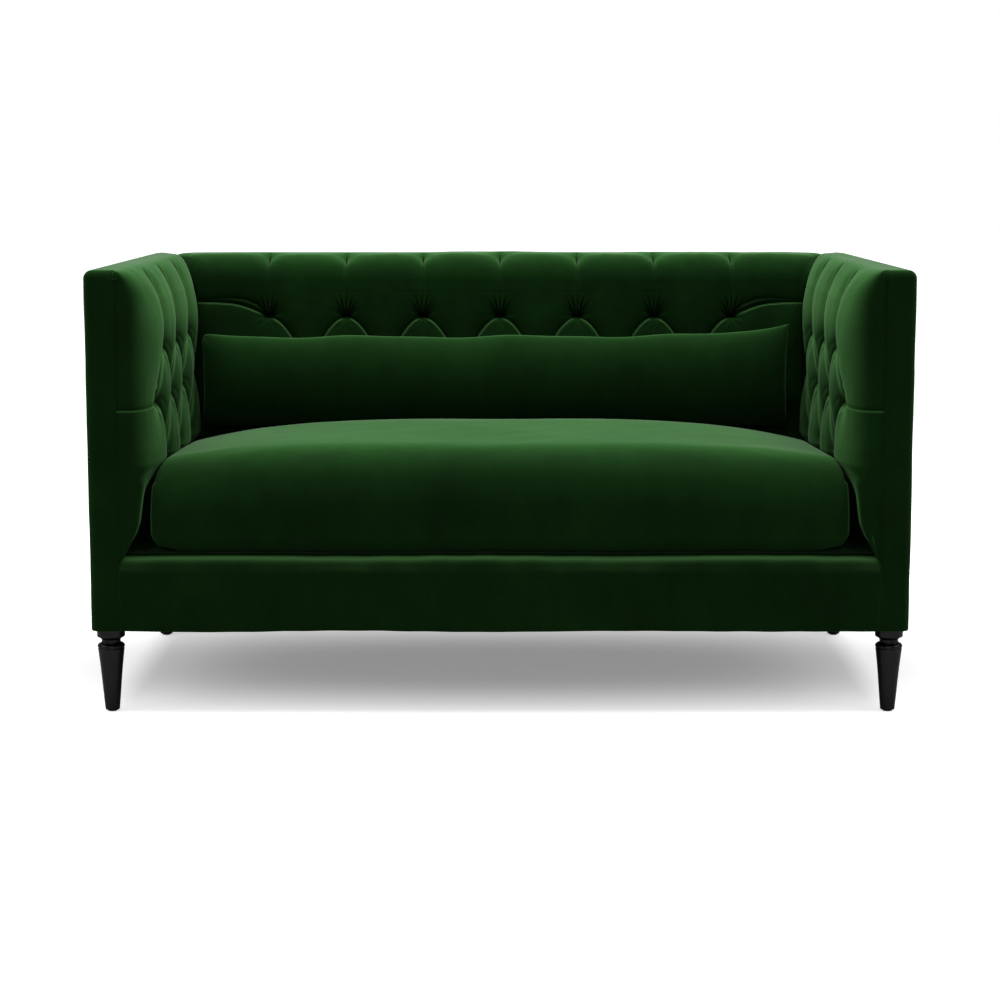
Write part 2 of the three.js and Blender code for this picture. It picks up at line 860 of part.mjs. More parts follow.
function turnedLeg() {
  const foot = glideHeight + fit;
  const tall = legHeight - fit - foot;
  const bore = boltRadius + fit;
  const profile = [new THREE.Vector2(0, foot)];
  for (const [radiusShare, heightShare] of legProfileShares) {
    profile.push(new THREE.Vector2(radiusShare * legCollarRadius, foot + heightShare * tall));
  }
  profile.push(new THREE.Vector2(bore, foot + tall));
  profile.push(new THREE.Vector2(bore, boltBottom - fit));
  profile.push(new THREE.Vector2(0, boltBottom - fit));
  return new THREE.LatheGeometry(profile, legSides).rotateX(Math.PI / 2);
}

for (const [sideName, side] of [['left', -1], ['right', 1]]) {
  for (const [endName, y] of [['front', legYs[0]], ['rear', legYs[1]]]) {
    const x = side * legX;
    add(`leg_${endName}_${sideName}`, turnedLeg(), blackLacquer(), x, y);
    add(
      `leg_bolt_${endName}_${sideName}`,
      pinGeometry(boltRadius, boltBottom, boltTop, boltSides, 0, 0),
      steel(),
      x,
      y,
    );
    add(
      `glide_${endName}_${sideName}`,
      pinGeometry(glideRadius, 0, glideHeight, legSides, 0, 0),
      blackPlastic(),
      x,
      y,
    );
  }
}

export default group;
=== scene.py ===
import json
import math
import bmesh
import bpy
import numpy as np
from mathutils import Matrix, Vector
from mathutils.bvhtree import BVHTree


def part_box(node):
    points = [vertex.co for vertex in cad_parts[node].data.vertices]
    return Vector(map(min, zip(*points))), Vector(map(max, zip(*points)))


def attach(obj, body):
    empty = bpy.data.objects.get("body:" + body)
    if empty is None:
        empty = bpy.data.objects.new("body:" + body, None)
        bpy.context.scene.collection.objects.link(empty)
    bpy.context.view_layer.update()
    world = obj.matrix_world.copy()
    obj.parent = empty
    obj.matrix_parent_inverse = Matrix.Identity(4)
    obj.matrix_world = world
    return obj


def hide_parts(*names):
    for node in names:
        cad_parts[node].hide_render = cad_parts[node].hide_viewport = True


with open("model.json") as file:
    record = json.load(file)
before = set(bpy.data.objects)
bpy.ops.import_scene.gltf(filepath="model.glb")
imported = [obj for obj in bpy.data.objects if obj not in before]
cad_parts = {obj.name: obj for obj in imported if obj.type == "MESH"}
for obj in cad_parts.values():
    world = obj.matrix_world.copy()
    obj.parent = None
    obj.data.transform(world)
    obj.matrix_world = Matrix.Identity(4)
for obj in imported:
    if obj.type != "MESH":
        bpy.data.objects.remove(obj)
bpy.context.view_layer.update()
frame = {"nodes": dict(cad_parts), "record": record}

# The body that the covers share, in metres
body = {
    "halfWidth": 0.762,
    "frontY": -0.457,
    "rearY": 0.457,
    "bottom": 0.160,
    "top": 0.830,
    "capBottom": 0.805,
    "woodTop": 0.8047,
    "edgeRadius": 0.016,
    "coverBack": -0.4387,
    "padBack": 0.0563,
    "padBottom": 0.3053,
    "cushionSeam": 0.4703,
    "backFace": 0.311,
}


# sRGB, 0 to 255, as the linear colour that a node takes
def rgb(red, green, blue):
    def linear(value):
        share = value / 255
        return share / 12.92 if share <= 0.04045 else ((share + 0.055) / 1.055) ** 2.4
    return (linear(red), linear(green), linear(blue), 1.0)


def smooth(share):
    held = np.clip(share, 0, 1)
    return held * held * (3 - 2 * held)


def roundInset(distance, radius):
    left = np.clip(radius - distance, 0, radius)
    return radius - np.sqrt(radius * radius - left * left)


# Shares from 0 to 1 that lie closer together at one end or both
def crowded(count, pull, ends="both"):
    t = np.linspace(0, 1, count + 1)
    if ends == "both":
        return t - pull * np.sin(2 * math.pi * t) / (2 * math.pi)
    if ends == "last":
        return t + pull * np.sin(math.pi * t) / math.pi
    return t - pull * np.sin(math.pi * t) / math.pi


# Slow unevenness of a surface: a few sine waves for each (length, height)
def waves(points, seed, sizes):
    random = np.random.default_rng(seed)
    total = np.zeros(points.shape[:-1])
    for length, height in sizes:
        for turn in range(5):
            direction = random.normal(size=3)
            direction /= np.linalg.norm(direction)
            phase = random.uniform(0, 2 * math.pi)
            spread = random.uniform(0.75, 1.3)
            total += height / 2.2 * np.sin(points @ direction * 2 * math.pi / (length * spread) + phase)
    return total


def meshObject(name, points, faces, sharpAngle=None, shades=None, rims=None):
    mesh = bpy.data.meshes.new(name)
    mesh.from_pydata(np.asarray(points, float).reshape(-1, 3).tolist(), [], faces)
    mesh.update()
    sketch = bmesh.new()
    sketch.from_mesh(mesh)
    bmesh.ops.recalc_face_normals(sketch, faces=sketch.faces)
    sketch.to_mesh(mesh)
    sketch.free()
    mesh.shade_smooth()
    if sharpAngle:
        mesh.set_sharp_from_angle(angle=math.radians(sharpAngle))
    # per-point painted shade and painted highlights, read into the velvet's colour
    for label, values in (("fold", shades), ("rim", rims)):
        layer = mesh.attributes.new(label, "FLOAT", "POINT")
        if values is not None:
            layer.data.foreach_set("value", np.asarray(values, np.float32).ravel())
    piece = bpy.data.objects.new(name, mesh)
    bpy.context.scene.collection.objects.link(piece)
    return piece


def gridFaces(columns, rows, closedRows=True):
    faces = []
    last = rows if closedRows else rows - 1
    for column in range(columns - 1):
        here = column * rows
        there = here + rows
        for row in range(last):
            after = (row + 1) % rows
            faces.append((here + row, here + after, there + after, there + row))
    return faces


# The evaluated piece as a plain mesh without modifiers
def plainMesh(piece, name):
    depsgraph = bpy.context.evaluated_depsgraph_get()
    mesh = bpy.data.meshes.new_from_object(piece.evaluated_get(depsgraph))
    piece.modifiers.clear()
    old = piece.data
    piece.data = mesh
    mesh.name = name
    bpy.data.meshes.remove(old)
    return piece


class Wire:
    # A node's output, so that node maths reads as plain expressions
    def __init__(self, sketch, socket):
        self.sketch = sketch
        self.socket = socket

    def calc(self, operation, *others, clamp=False):
        values = {0: self}
        values.update({place + 1: other for place, other in enumerate(others)})
        return self.sketch.add("ShaderNodeMath", {"operation": operation, "use_clamp": clamp}, values)

    def __add__(self, other):
        return self.calc("ADD", other)

    def __sub__(self, other):
        return self.calc("SUBTRACT", other)

    def __rsub__(self, other):
        return self.sketch.add("ShaderNodeMath", {"operation": "SUBTRACT"}, {0: other, 1: self})

    def __mul__(self, other):
        return self.calc("MULTIPLY", other)

    def __truediv__(self, other):
        return self.calc("DIVIDE", other)

    def __pow__(self, other):
        return self.calc("POWER", other)

    __radd__ = __add__
    __rmul__ = __mul__


class Sketch:
    # A node tree under construction, for a material or for Geometry Nodes
    def __init__(self, tree):
        self.tree = tree

    def add(self, kind, settings=None, values=None, output=0):
        node = self.tree.nodes.new(kind)
        for key, value in (settings or {}).items():
            if key == "stops":
                ramp = node.color_ramp
                while len(ramp.elements) < len(value):
                    ramp.elements.new(0.5)
                for element, (place, colour) in zip(ramp.elements, value):
                    element.position = place
                    element.color = colour
            elif key == "profile":
                curve = node.mapping.curves[0]
                while len(curve.points) < len(value):
                    curve.points.new(0.5, 0.5)
                for point, (x, y) in zip(curve.points, value):
                    point.location = (x, y)
                node.mapping.update()
            else:
                setattr(node, key, value)
        for key, value in (values or {}).items():
            if isinstance(value, Wire):
                self.tree.links.new(value.socket, node.inputs[key])
            elif value is not None:
                node.inputs[key].default_value = value
        return Wire(self, node.outputs[output]) if node.outputs else node


class Finish(Sketch):
    # One material: a Principled shader, its even numbers set on the sockets, and what varies linked
    def __init__(self, name, **even):
        self.material = bpy.data.materials.new(name)
        self.material.use_nodes = True
        super().__init__(self.material.node_tree)
        self.tree.nodes.clear()
        self.shader = self.tree.nodes.new("ShaderNodeBsdfPrincipled")
        end = self.tree.nodes.new("ShaderNodeOutputMaterial")
        self.tree.links.new(self.shader.outputs[0], end.inputs["Surface"])
        for key, value in even.items():
            self.shader.inputs[key.replace("_", " ")].default_value = value
        self.place = self.add("ShaderNodeTexCoord", output=3)

    def stretched(self, scale, turn=(0, 0, 0)):
        return self.add("ShaderNodeMapping", None, {"Vector": self.place, "Rotation": turn, "Scale": scale})

    def noise(self, scale, detail=2.0, rough=0.5, place=None):
        return self.add(
            "ShaderNodeTexNoise",
            None,
            {"Vector": place or self.place, "Scale": scale, "Detail": detail, "Roughness": rough},
        )

    # A share spread from low..high to 0..1
    def between(self, share, low, high):
        return self.add("ShaderNodeMapRange", None, {0: share, 1: low, 2: high, 3: 0.0, 4: 1.0})

    def mix(self, share, first, second, how="MIX"):
        return self.add(
            "ShaderNodeMix", {"data_type": "RGBA", "blend_type": how}, {0: share, 6: first, 7: second}, 2
        )

    def bump(self, height, distance, strength=1.0, under=None):
        values = {"Height": height, "Distance": distance, "Strength": strength, "Normal": under}
        return self.add("ShaderNodeBump", None, values)

    def link(self, **varying):
        for key, wire in varying.items():
            self.tree.links.new(wire.socket, self.shader.inputs[key.replace("_", " ")])
        return self.material


velvetLook = {
    "deep": rgb(11, 28, 10),
    "brushed": rgb(17, 43, 15),
    # colour of the painted sheen where the surface is seen edge-on, with its steep and slow parts, and a paler painted
    # skim sheen at the most grazing
    "paintedSheenColour": (0.044, 0.150, 0.037, 1.0),
    "paintedSheenSteep": (5.0, 0.58),
    "paintedSheenSlow": (1.5, 0.32),
    "skimLight": (0.090, 0.112, 0.090, 1.0),
    "skimPower": 16.0,
    # colour of the painted highlights along pleats, edges and welts
    "rimLight": rgb(96, 150, 86),
    "sheen": (0.47, 0.95, 0.43, 1.0),
    "sheenWeight": 0.075,
    "sheenRoughness": 0.3,
    "napScale": 5.5,
    "pileScale": 900.0,
    # strength of the painted shade and share of the painted highlight
    "paintedShadeStrength": 0.85,
    "rimShare": 0.55,
}


def velvetFinish():
    look = velvetLook
    velvet = Finish(
        "deepGreenVelvet",
        Specular_IOR_Level=0.0,
        Sheen_Weight=look["sheenWeight"],
        Sheen_Roughness=look["sheenRoughness"],
        Sheen_Tint=look["sheen"],
    )
    napAndNoseLight = velvet.noise(look["napScale"], 3.0, 0.55)
    brush = velvet.noise(26.0, 2.0, 0.5, velvet.stretched((1.0, 1.0, 0.35)))
    pile = velvet.noise(look["pileScale"], 1.0, 0.6)
    strand = velvet.noise(320.0, 1.0, 0.5, velvet.stretched((1.0, 1.0, 0.4)))
    brushed = velvet.between(napAndNoseLight * 0.65 + brush * 0.35, 0.36, 0.68)
    grain = velvet.between(pile * 0.6 + strand * 0.4, 0.28, 0.72)
    colour = velvet.mix(brushed * 0.55 + grain * 0.28, look["deep"], look["brushed"])
    # Layer Weight lightens the colour where the surface turns edge-on: a painted sheen, then a paler painted skim sheen
    # at the most grazing
    grazing = velvet.add("ShaderNodeLayerWeight", None, {"Blend": 0.5}, 1)
    steep, slow = ((grazing ** power) * share for power, share in (look["paintedSheenSteep"], look["paintedSheenSlow"]))
    colour = velvet.mix((steep + slow) * (0.9 + brushed * 0.2), colour, look["paintedSheenColour"])
    colour = velvet.mix(grazing ** look["skimPower"], colour, look["skimLight"])
    # Two point attributes paint light and shade into the colour: painted highlights lighten it towards rimLight,
    # painted shade darkens it towards near black
    fold = velvet.add("ShaderNodeAttribute", {"attribute_name": "fold"}, None, 2)
    rim = velvet.add("ShaderNodeAttribute", {"attribute_name": "rim"}, None, 2)
    rimmed = velvet.mix(rim * look["rimShare"], colour, look["rimLight"])
    paintedShadeColour = velvet.mix(fold * look["paintedShadeStrength"], rimmed, (0.0003, 0.0012, 0.0003, 1.0))
    height = pile * 0.7 + strand * 0.5
    return velvet.link(
        Base_Color=paintedShadeColour,
        Roughness=0.78 + brushed * 0.16,
        Normal=velvet.bump(height, 0.0007, 0.35),
    )


def woodFinish():
    wood = Finish("kilnDriedHardwood", Specular_IOR_Level=0.3)
    grain = wood.noise(34.0, 5.0, 0.62, wood.stretched((1.0, 1.0, 1.0)))
    rings = wood.noise(9.0, 2.0, 0.5, wood.stretched((1.0, 7.0, 7.0)))
    pores = wood.noise(420.0, 2.0, 0.5, wood.stretched((0.2, 1.0, 1.0)))
    colour = wood.mix(wood.between(grain * 0.5 + rings * 0.5, 0.35, 0.65), rgb(178, 139, 96), rgb(214, 180, 134))
    dark = wood.mix(wood.between(pores, 0.62, 0.78) * 0.5, colour, rgb(120, 86, 54))
    return wood.link(Base_Color=dark, Roughness=0.62 + pores * 0.2, Normal=wood.bump(pores, 0.0005, 0.4))


def steelFinish():
    steel = Finish("springSteel", Metallic=0.9)
    film = steel.noise(60.0, 3.0, 0.6)
    colour = steel.mix(steel.between(film, 0.4, 0.65), rgb(92, 92, 96), rgb(140, 139, 138))
    return steel.link(Base_Color=colour, Roughness=0.34 + film * 0.25, Normal=steel.bump(film, 0.0002, 0.3))


def lacquerFinish():
    lacquer = Finish("blackLacquer", Specular_IOR_Level=0.05, Coat_Roughness=0.06)
    edge = lacquer.add("ShaderNodeLayerWeight", None, {"Blend": 0.5}, 1)
    wear = lacquer.noise(38.0, 4.0, 0.6)
    grain = lacquer.noise(150.0, 3.0, 0.55, lacquer.stretched((1.0, 1.0, 0.12)))
    colour = lacquer.mix(lacquer.between(wear, 0.45, 0.7), rgb(5, 5, 5), rgb(12, 11, 11))
    return lacquer.link(
        Base_Color=colour,
        Roughness=0.24 + wear * 0.14,
        Coat_Weight=0.6 - (edge ** 2.2) * 0.58,
        Normal=lacquer.bump(grain, 0.0003, 0.25),
    )


def plasticFinish():
    plastic = Finish("blackNylon")
    speck = plastic.noise(700.0, 2.0, 0.5)
    colour = plastic.mix(speck, rgb(20, 20, 21), rgb(34, 34, 35))
    return plastic.link(Base_Color=colour, Roughness=0.45 + speck * 0.2, Normal=plastic.bump(speck, 0.0002, 0.3))


# A plain weave in the plane that faces the viewer of each sheet, with slubs in the thread
def weaveFinish(name, dark, light, thread, specular=0.2, depth=0.0005):
    cloth = Finish(name, Specular_IOR_Level=specular)
    parts = cloth.add("ShaderNodeSeparateXYZ", None, {"Vector": cloth.place})
    node = parts.socket.node
    x, y, z = (Wire(cloth, node.outputs[part]) for part in range(3))
    turn = 2 * math.pi / thread
    warp = ((x + y) * turn).calc("SINE")
    weft = ((z + y) * turn).calc("SINE")
    over = cloth.between(warp * weft, -0.6, 0.6)
    slub = cloth.noise(140.0, 2.0, 0.6)
    colour = cloth.mix(over * 0.55 + slub * 0.45, dark, light)
    return cloth.link(Base_Color=colour, Roughness=0.85 + slub * 0.1, Normal=cloth.bump(over, depth, 0.6))


velvet = velvetFinish()
finishes = {
    "velvet": velvet,
    "frame_wood": woodFinish(),
    "spring_steel": steelFinish(),
    "leg_lacquer": lacquerFinish(),
    "glide_plastic": plasticFinish(),
    "hessian": weaveFinish("hessianCloth", rgb(122, 96, 62), rgb(184, 156, 112), 0.0030),
    "dust_cloth": weaveFinish("dustCoverCloth", rgb(16, 16, 17), rgb(38, 38, 40), 0.0016),
}
print("stage: finishes ready")


# Gives a finished piece its material, its body and the CAD nodes that it stands for
def dress(piece, slot, nodes=(), ridesOn="frame"):
    piece.data.materials.clear()
    piece.data.materials.append(finishes[slot])
    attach(piece, ridesOn)
    if nodes:
        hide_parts(*nodes)
    return piece


tufting = {
    "shoulderDepth": 0.0105,
    "shoulderReach": 0.018,
    "shoulderPower": 1.05,
    "foldDepth": 0.0050,
    "foldReach": 0.0022,
    "pocketDepth": 0.0150,
    "pocketUp": 0.019,
    "pocketSide": 0.0095,
    "pocketDown": 0.0048,
    "slotHalf": 0.0065,
    "streaks": 6,
    "streakSpread": 0.90,
    "streakDepth": 0.0036,
    "streakFrom": 0.021,
    "streakReach": 0.019,
    "petalDepth": 0.0011,
    "rimOffset": 0.0030,
    "rimWidth": 0.0013,
    "shadeReach": 0.0022,
    "shade": 0.62,
    "columnsPerSpan": 42,
    "rowsPerSpan": 50,
}
padShape = {
    "tuck": 0.025,
    "noseRadius": 0.180,
    "nosePower": 0.27,
    "lowNosePower": 0.06,
    "noseColumns": 56,
    "seamGap": 0.0006,
    "wall": 0.0562,
    "split": 0.041,
}
backPad = {
    "rows": (0.695, 0.580, 0.465),
    "tuckPower": 1.0,
    "pitch": 0.166,
    "thickness": 0.146,
    "seatDrop": 0.010,
    "lastTuft": 0.498,
    "wide": 0.060,
    "tall": 0.055,
    "arcSteps": 30,
    "upperSteps": 34,
    "seed": 3,
}
armPad = {
    "rows": (0.676, 0.578, 0.470),
    "wide": 0.104,
    "tall": 0.147,
    "tuckWide": 0.046,
    "tuckTall": 0.062,
    "tuckPower": 1.5,
    "arcSteps": 54,
    "upperSteps": 6,
    "pitch": 0.212,
    "front": 0.134,
    "rear": 0.117,
    "seat": 0.113,
    "seatFrom": 0.446,
    "seatSpan": 0.026,
    "seatTaper": 0.144,
    "seatNarrow": 0.17,
    "narrowTo": 0.16,
    "firstTuft": 0.220,
    "lastTuft": 0.644,
    # painted shade and painted light on the arm pad's face
    "underShade": 0.85,
    "napAndNoseLight": 0.20,
    "paintedHighLight": 0.24,
    "paintedLowShade": 0.38,
    "frontTuft": 0.75,
    "bellPower": 2.6,
    "relief": {
        "shoulderDepth": 0.0155,
        "shoulderReach": 0.027,
        "foldDepth": 0.0060,
        "foldReach": 0.0045,
        "pocketSide": 0.016,
        "rimOffset": 0.0150,
        "rimWidth": 0.0060,
        "shadeReach": 0.0085,
        "shade": 0.95,
    },
    "seed": 11,
}
mitre = {"innerX": 0.645, "innerY": 0.311, "outerX": 0.721, "outerY": 0.457}


# Distance of each place to a line of points, how far along the line that is, and on which side
def distanceTo(line, along, level):
    best = np.full(along.shape, 9.0)
    where = np.zeros(along.shape)
    turn = np.zeros(along.shape)
    count = len(line) - 1
    for index in range(count):
        (a0, b0), (a1, b1) = line[index], line[index + 1]
        da, db = a1 - a0, b1 - b0
        share = np.clip(((along - a0) * da + (level - b0) * db) / (da * da + db * db), 0, 1)
        away = np.hypot(along - a0 - share * da, level - b0 - share * db)
        closer = away < best
        best[closer] = away[closer]
        where[closer] = (index + share[closer]) / count
        turn[closer] = np.sign(da * (level - b0) - db * (along - a0))[closer]
    return best, where, turn


# From a tuft down to the next row's tuft on one side, in a bell curve
def bellPleat(along, level, side, half, drop, power, until=1.0):
    steps = np.linspace(tufting["slotHalf"], half * until, 22)
    return [(along + side * step, level - drop * (step / half) ** power) for step in steps]


# How far the cover is drawn in at each place, with painted shade along its creases and in its tuft pockets, and a
# painted highlight beside its pleats
def tuftedInset(along, level, tufts, pleats, seed, look=tufting):
    shoulder = np.ones(along.shape)
    crease = np.ones(along.shape)
    shade = np.ones(along.shape)
    rim = np.zeros(along.shape)
    for line, strengths, width, rimSide, rimShare in pleats:
        spots = np.array(line)
        near = 3.2 * look["shoulderReach"]
        mask = (
            (along > spots[:, 0].min() - near) & (along < spots[:, 0].max() + near)
            & (level > spots[:, 1].min() - near) & (level < spots[:, 1].max() + near)
        )
        if not mask.any():
            continue
        away, where, turn = distanceTo(line, along[mask], level[mask])
        strength = np.interp(where, np.linspace(0, 1, len(strengths)), strengths)
        soft = np.sqrt(away ** 2 + 0.0012 ** 2) - 0.0012
        shoulder[mask] *= 1 - width * strength * np.exp(-(soft / look["shoulderReach"]) ** look["shoulderPower"])
        crease[mask] *= 1 - strength * np.exp(-soft / look["foldReach"])
        # painted shade that darkens the colour along each crease
        shade[mask] *= 1 - strength * np.exp(-soft / look["shadeReach"])
        # a painted highlight in a thin line beside the pleat, on one side
        lit = np.exp(-((away - look["rimOffset"]) / look["rimWidth"]) ** 2) * rimShare * strength
        lit = np.where((rimSide == 0) | (turn == rimSide), lit, 0)
        rim[mask] = np.maximum(rim[mask], lit)
    inset = look["shoulderDepth"] * (1 - shoulder) + look["foldDepth"] * (1 - crease)
    fold = look["shade"] * (1 - shade)
    random = np.random.default_rng(seed)
    for tuftAlong, tuftLevel, depth in tufts:
        da = along - tuftAlong  # along the row, then up from the tuft
        dl = level - tuftLevel
        sideways = np.sqrt(np.maximum(np.abs(da) - look["slotHalf"] * 0.8, 0) ** 2 + 1e-9)
        reach = np.hypot(sideways, dl)
        angle = np.arctan2(da, dl)
        upward = np.cos(np.arctan2(sideways, dl))
        spread = np.where(
            upward > 0,
            look["pocketSide"] + (look["pocketUp"] - look["pocketSide"]) * np.maximum(upward, 0) ** 1.5,
            look["pocketSide"] + (look["pocketDown"] - look["pocketSide"]) * np.abs(upward) ** 0.7,
        )
        pocket = np.exp(-(reach / spread) ** 1.35)
        radius = np.hypot(da, dl)
        twist = random.uniform(-0.08, 0.08)
        rise = (radius - look["streakFrom"]) / look["streakReach"]
        fan = np.exp(-((angle - twist) / 0.66) ** 4) * np.exp(-np.abs(rise) ** 2.4)
        streak = np.cos((angle - twist) * 2 * math.pi * look["streaks"] / (2 * look["streakSpread"]))
        petals = np.cos(angle * 9 + random.uniform(0, 6)) * np.exp(-((radius - 0.016) / 0.011) ** 2)
        inset = inset + depth * (
            look["pocketDepth"] * pocket
            + look["streakDepth"] * fan * streak
            + look["petalDepth"] * petals * (1 - fan)
        )
        # painted shade in each tuft pocket and along the dark streaks of its fan
        dark = 1.3 * pocket ** 1.3 + 0.95 * fan * np.clip(streak * 1.4 - 0.2, 0, 1)
        fold = np.maximum(fold, depth * np.clip(dark, 0, 1))
        rim = rim * (1 - np.clip(1.6 * pocket, 0, 1))
    return inset, np.clip(fold, 0, 1), np.clip(rim, 0, 1)


# One closed section of a pad: distance from the far edge, height, and height along the unrolled cover
def padSection(reach, wide, tall, tuckWide, tuckTall, shape):
    top, bottom, edge = body["top"], body["padBottom"], body["edgeRadius"]
    rows = shape["rows"]
    wall, split, back = padShape["wall"], padShape["split"], body["padBack"]
    face = float(reach(np.array([top - tall]))[0])
    across, height = [], []

    def run(points):
        for c, z in points:
            across.append(c)
            height.append(z)

    run((0.0, z) for z in np.linspace(body["capBottom"], top - edge, 4)[:-1])
    run((edge - edge * math.cos(a), top - edge + edge * math.sin(a)) for a in np.linspace(0, math.pi / 2, 7))
    marks = {"flat": len(across)}
    run((c, top) for c in np.linspace(edge, split, 5)[1:])
    marks["split"] = len(across) - 1
    run((c, top) for c in np.linspace(split, wall, 3)[1:])
    marks["wall"] = len(across) - 1
    start = wall + 0.0003
    run((c, top) for c in np.linspace(start, max(face - wide, start + 0.0004), 12)[:-1])
    marks["round"] = len(across)
    turns = np.linspace(math.pi / 2, 0, shape["arcSteps"] + 1)
    run((face - wide + wide * math.cos(a), top - tall + tall * math.sin(a)) for a in turns)
    marks["face"] = len(across)
    upper = crowded(shape["upperSteps"], 0.3, "last")[1:]
    levels = list(top - tall + (rows[0] - top + tall) * upper)
    for high, low in zip(rows, rows[1:]):
        levels += list(high + (low - high) * crowded(tufting["rowsPerSpan"], 0.45)[1:])
    levels += list(rows[-1] + (bottom + tuckTall - rows[-1]) * crowded(28, 0.3, "first")[1:])
    levels = np.array(levels)
    run(zip(reach(levels), levels))
    low = float(reach(np.array([bottom + tuckTall]))[0])
    marks["tuck"] = len(across)
    under = np.linspace(0, math.pi / 2 - 1e-6, 15)[1:]
    bend = shape["tuckPower"]
    run((low - tuckWide * (1 - math.cos(a) ** bend), bottom + tuckTall * (1 - math.sin(a) ** bend)) for a in under)
    run((c, bottom) for c in np.linspace(low - tuckWide, back, 5)[1:])
    marks["backFoot"] = len(across) - 1
    run((back, z) for z in np.linspace(bottom, body["capBottom"], 9)[1:])
    marks["backTop"] = len(across) - 1
    run((c, body["capBottom"]) for c in (back - 0.0002, split, 0.02))
    across, height = np.array(across), np.array(height)
    unrolled = height.copy()
    steps = np.hypot(np.diff(wide * np.cos(turns)), np.diff(tall * np.sin(turns)))
    inRound = slice(marks["round"], marks["face"])
    unrolled[inRound] = top - tall + np.append(np.cumsum(steps[::-1])[::-1], 0)
    flat = slice(marks["flat"], marks["round"])
    unrolled[flat] = top - tall + steps.sum() + (face - wide - across[flat])
    unrolled[: marks["flat"]] = unrolled[marks["flat"]] + 0.02
    return across, height, unrolled, marks


# Outward directions of a pad's grid of points, columns by rows
def surfaceNormals(points):
    down = np.gradient(points, axis=1)
    along = np.gradient(points, axis=0)
    normals = np.cross(along, down)
    size = np.linalg.norm(normals, axis=-1, keepdims=True)
    return normals / np.maximum(size, 1e-12)


# The places of the tufts: rows one and three from first to last, row two between them
def tuftRows(first, last, rowTwo, pitch, levels):
    outer = np.arange(first, last + 0.001, pitch)
    rows = [(along, levels[0], 1.0) for along in outer]
    rows += [(along, levels[1], 1.0) for along in rowTwo]
    rows += [(along, levels[2], 0.9) for along in outer]
    return rows


# Pleats between tufts, up over the edge from the first row and down to the seat from the last
def tuftPleats(tufts, upward, pitch, rows, power=2.0, upRim=0.5):
    spots = {(round(a, 4), round(z, 4)) for a, z, depth in tufts}
    below = dict(zip(rows, rows[1:]))
    pleats = []
    for along, height, depth in tufts:
        after = below.get(height, 0)
        for side in (-1, 1):
            if (round(along + side * pitch / 2, 4), round(after, 4)) in spots:
                line = bellPleat(along, height, side, pitch / 2, height - after, power)
                pleats.append((line, [0.95, 1, 1, 0.9, 0.9], 1.0, -side, 0.8))
        if height == rows[0]:
            levels = np.linspace(height + 0.004, upward[-1][0], 24)
            strengths = np.interp(levels, [place for place, share in upward], [share for place, share in upward])
            pleats.append(([(along, place) for place in levels], strengths, 0.9, 0, upRim))
        if height == rows[-1]:
            pleats.append(([(along, height - 0.004), (along, body["padBottom"] - 0.02)], [0.8, 0.9], 0.9, 0, 0.4))
    return pleats


def mitreY(x):
    slope = (mitre["outerY"] - mitre["innerY"]) / (mitre["outerX"] - mitre["innerX"])
    return mitre["innerY"] + (x - mitre["innerX"]) * slope


def mitreX(y):
    slope = (mitre["outerX"] - mitre["innerX"]) / (mitre["outerY"] - mitre["innerY"])
    return mitre["innerX"] + (y - mitre["innerY"]) * slope


# How far a cover is drawn in beside a seam
def seamDip(distance):
    return 0.0055 * np.exp(-(distance / 0.0055) ** 1.2) + 0.0040 * np.exp(-distance / 0.020)


# Distance in plan from the mitre seam
def mitreAway(x, y):
    ax, ay = mitre["innerX"], mitre["innerY"]
    bx, by = mitre["outerX"] - ax, mitre["outerY"] - ay
    share = np.clip(((x - ax) * bx + (y - ay) * by) / (bx * bx + by * by), 0, 1)
    return np.hypot(x - ax - share * bx, y - ay - share * by)


def spanColumns(first, last, step):
    shares = crowded(tufting["columnsPerSpan"], 0.45)[1:]
    columns = [first]
    for span in range(round((last - first) / step)):
        columns += list(first + (span + shares) * step)
    return columns


# The end pleat of a row, from its last tuft to the corner, and the lighter one above it
def sidePleats(along, towards, rise, endShare):
    main = [(0.004, 0.0), (0.02, 0.33), (0.04, 0.6), (0.06, 0.8), (0.08, 0.92), (0.11, 0.985), (0.17, 1.0)]
    above = [(0.004, 0.35), (0.025, 0.85), (0.05, 1.16), (0.08, 1.27), (0.11, 1.22), (0.17, 1.1)]
    level = backPad["rows"][0]
    return [
        ([(along + towards * a, level + rise * b) for a, b in main], [1, 1, 0.9, endShare], 0.95, -towards, 0.8),
        ([(along + towards * a, level + rise * b) for a, b in above], [0.8, 0.6, 0.4, 0.1], 0.2, -towards, 0.35),
    ]


def flatPleat(along, towards, level, length, strengths, width=0.8):
    steps = np.linspace(0.005, length, 8)
    line = [(along + towards * step, level - 0.004 * step / length) for step in steps]
    return (line, strengths, width, -towards, 0.7)


def backReach(levels):
    share = smooth((levels - body["cushionSeam"]) / 0.0575)
    return backPad["thickness"] - backPad["seatDrop"] * (1 - share)


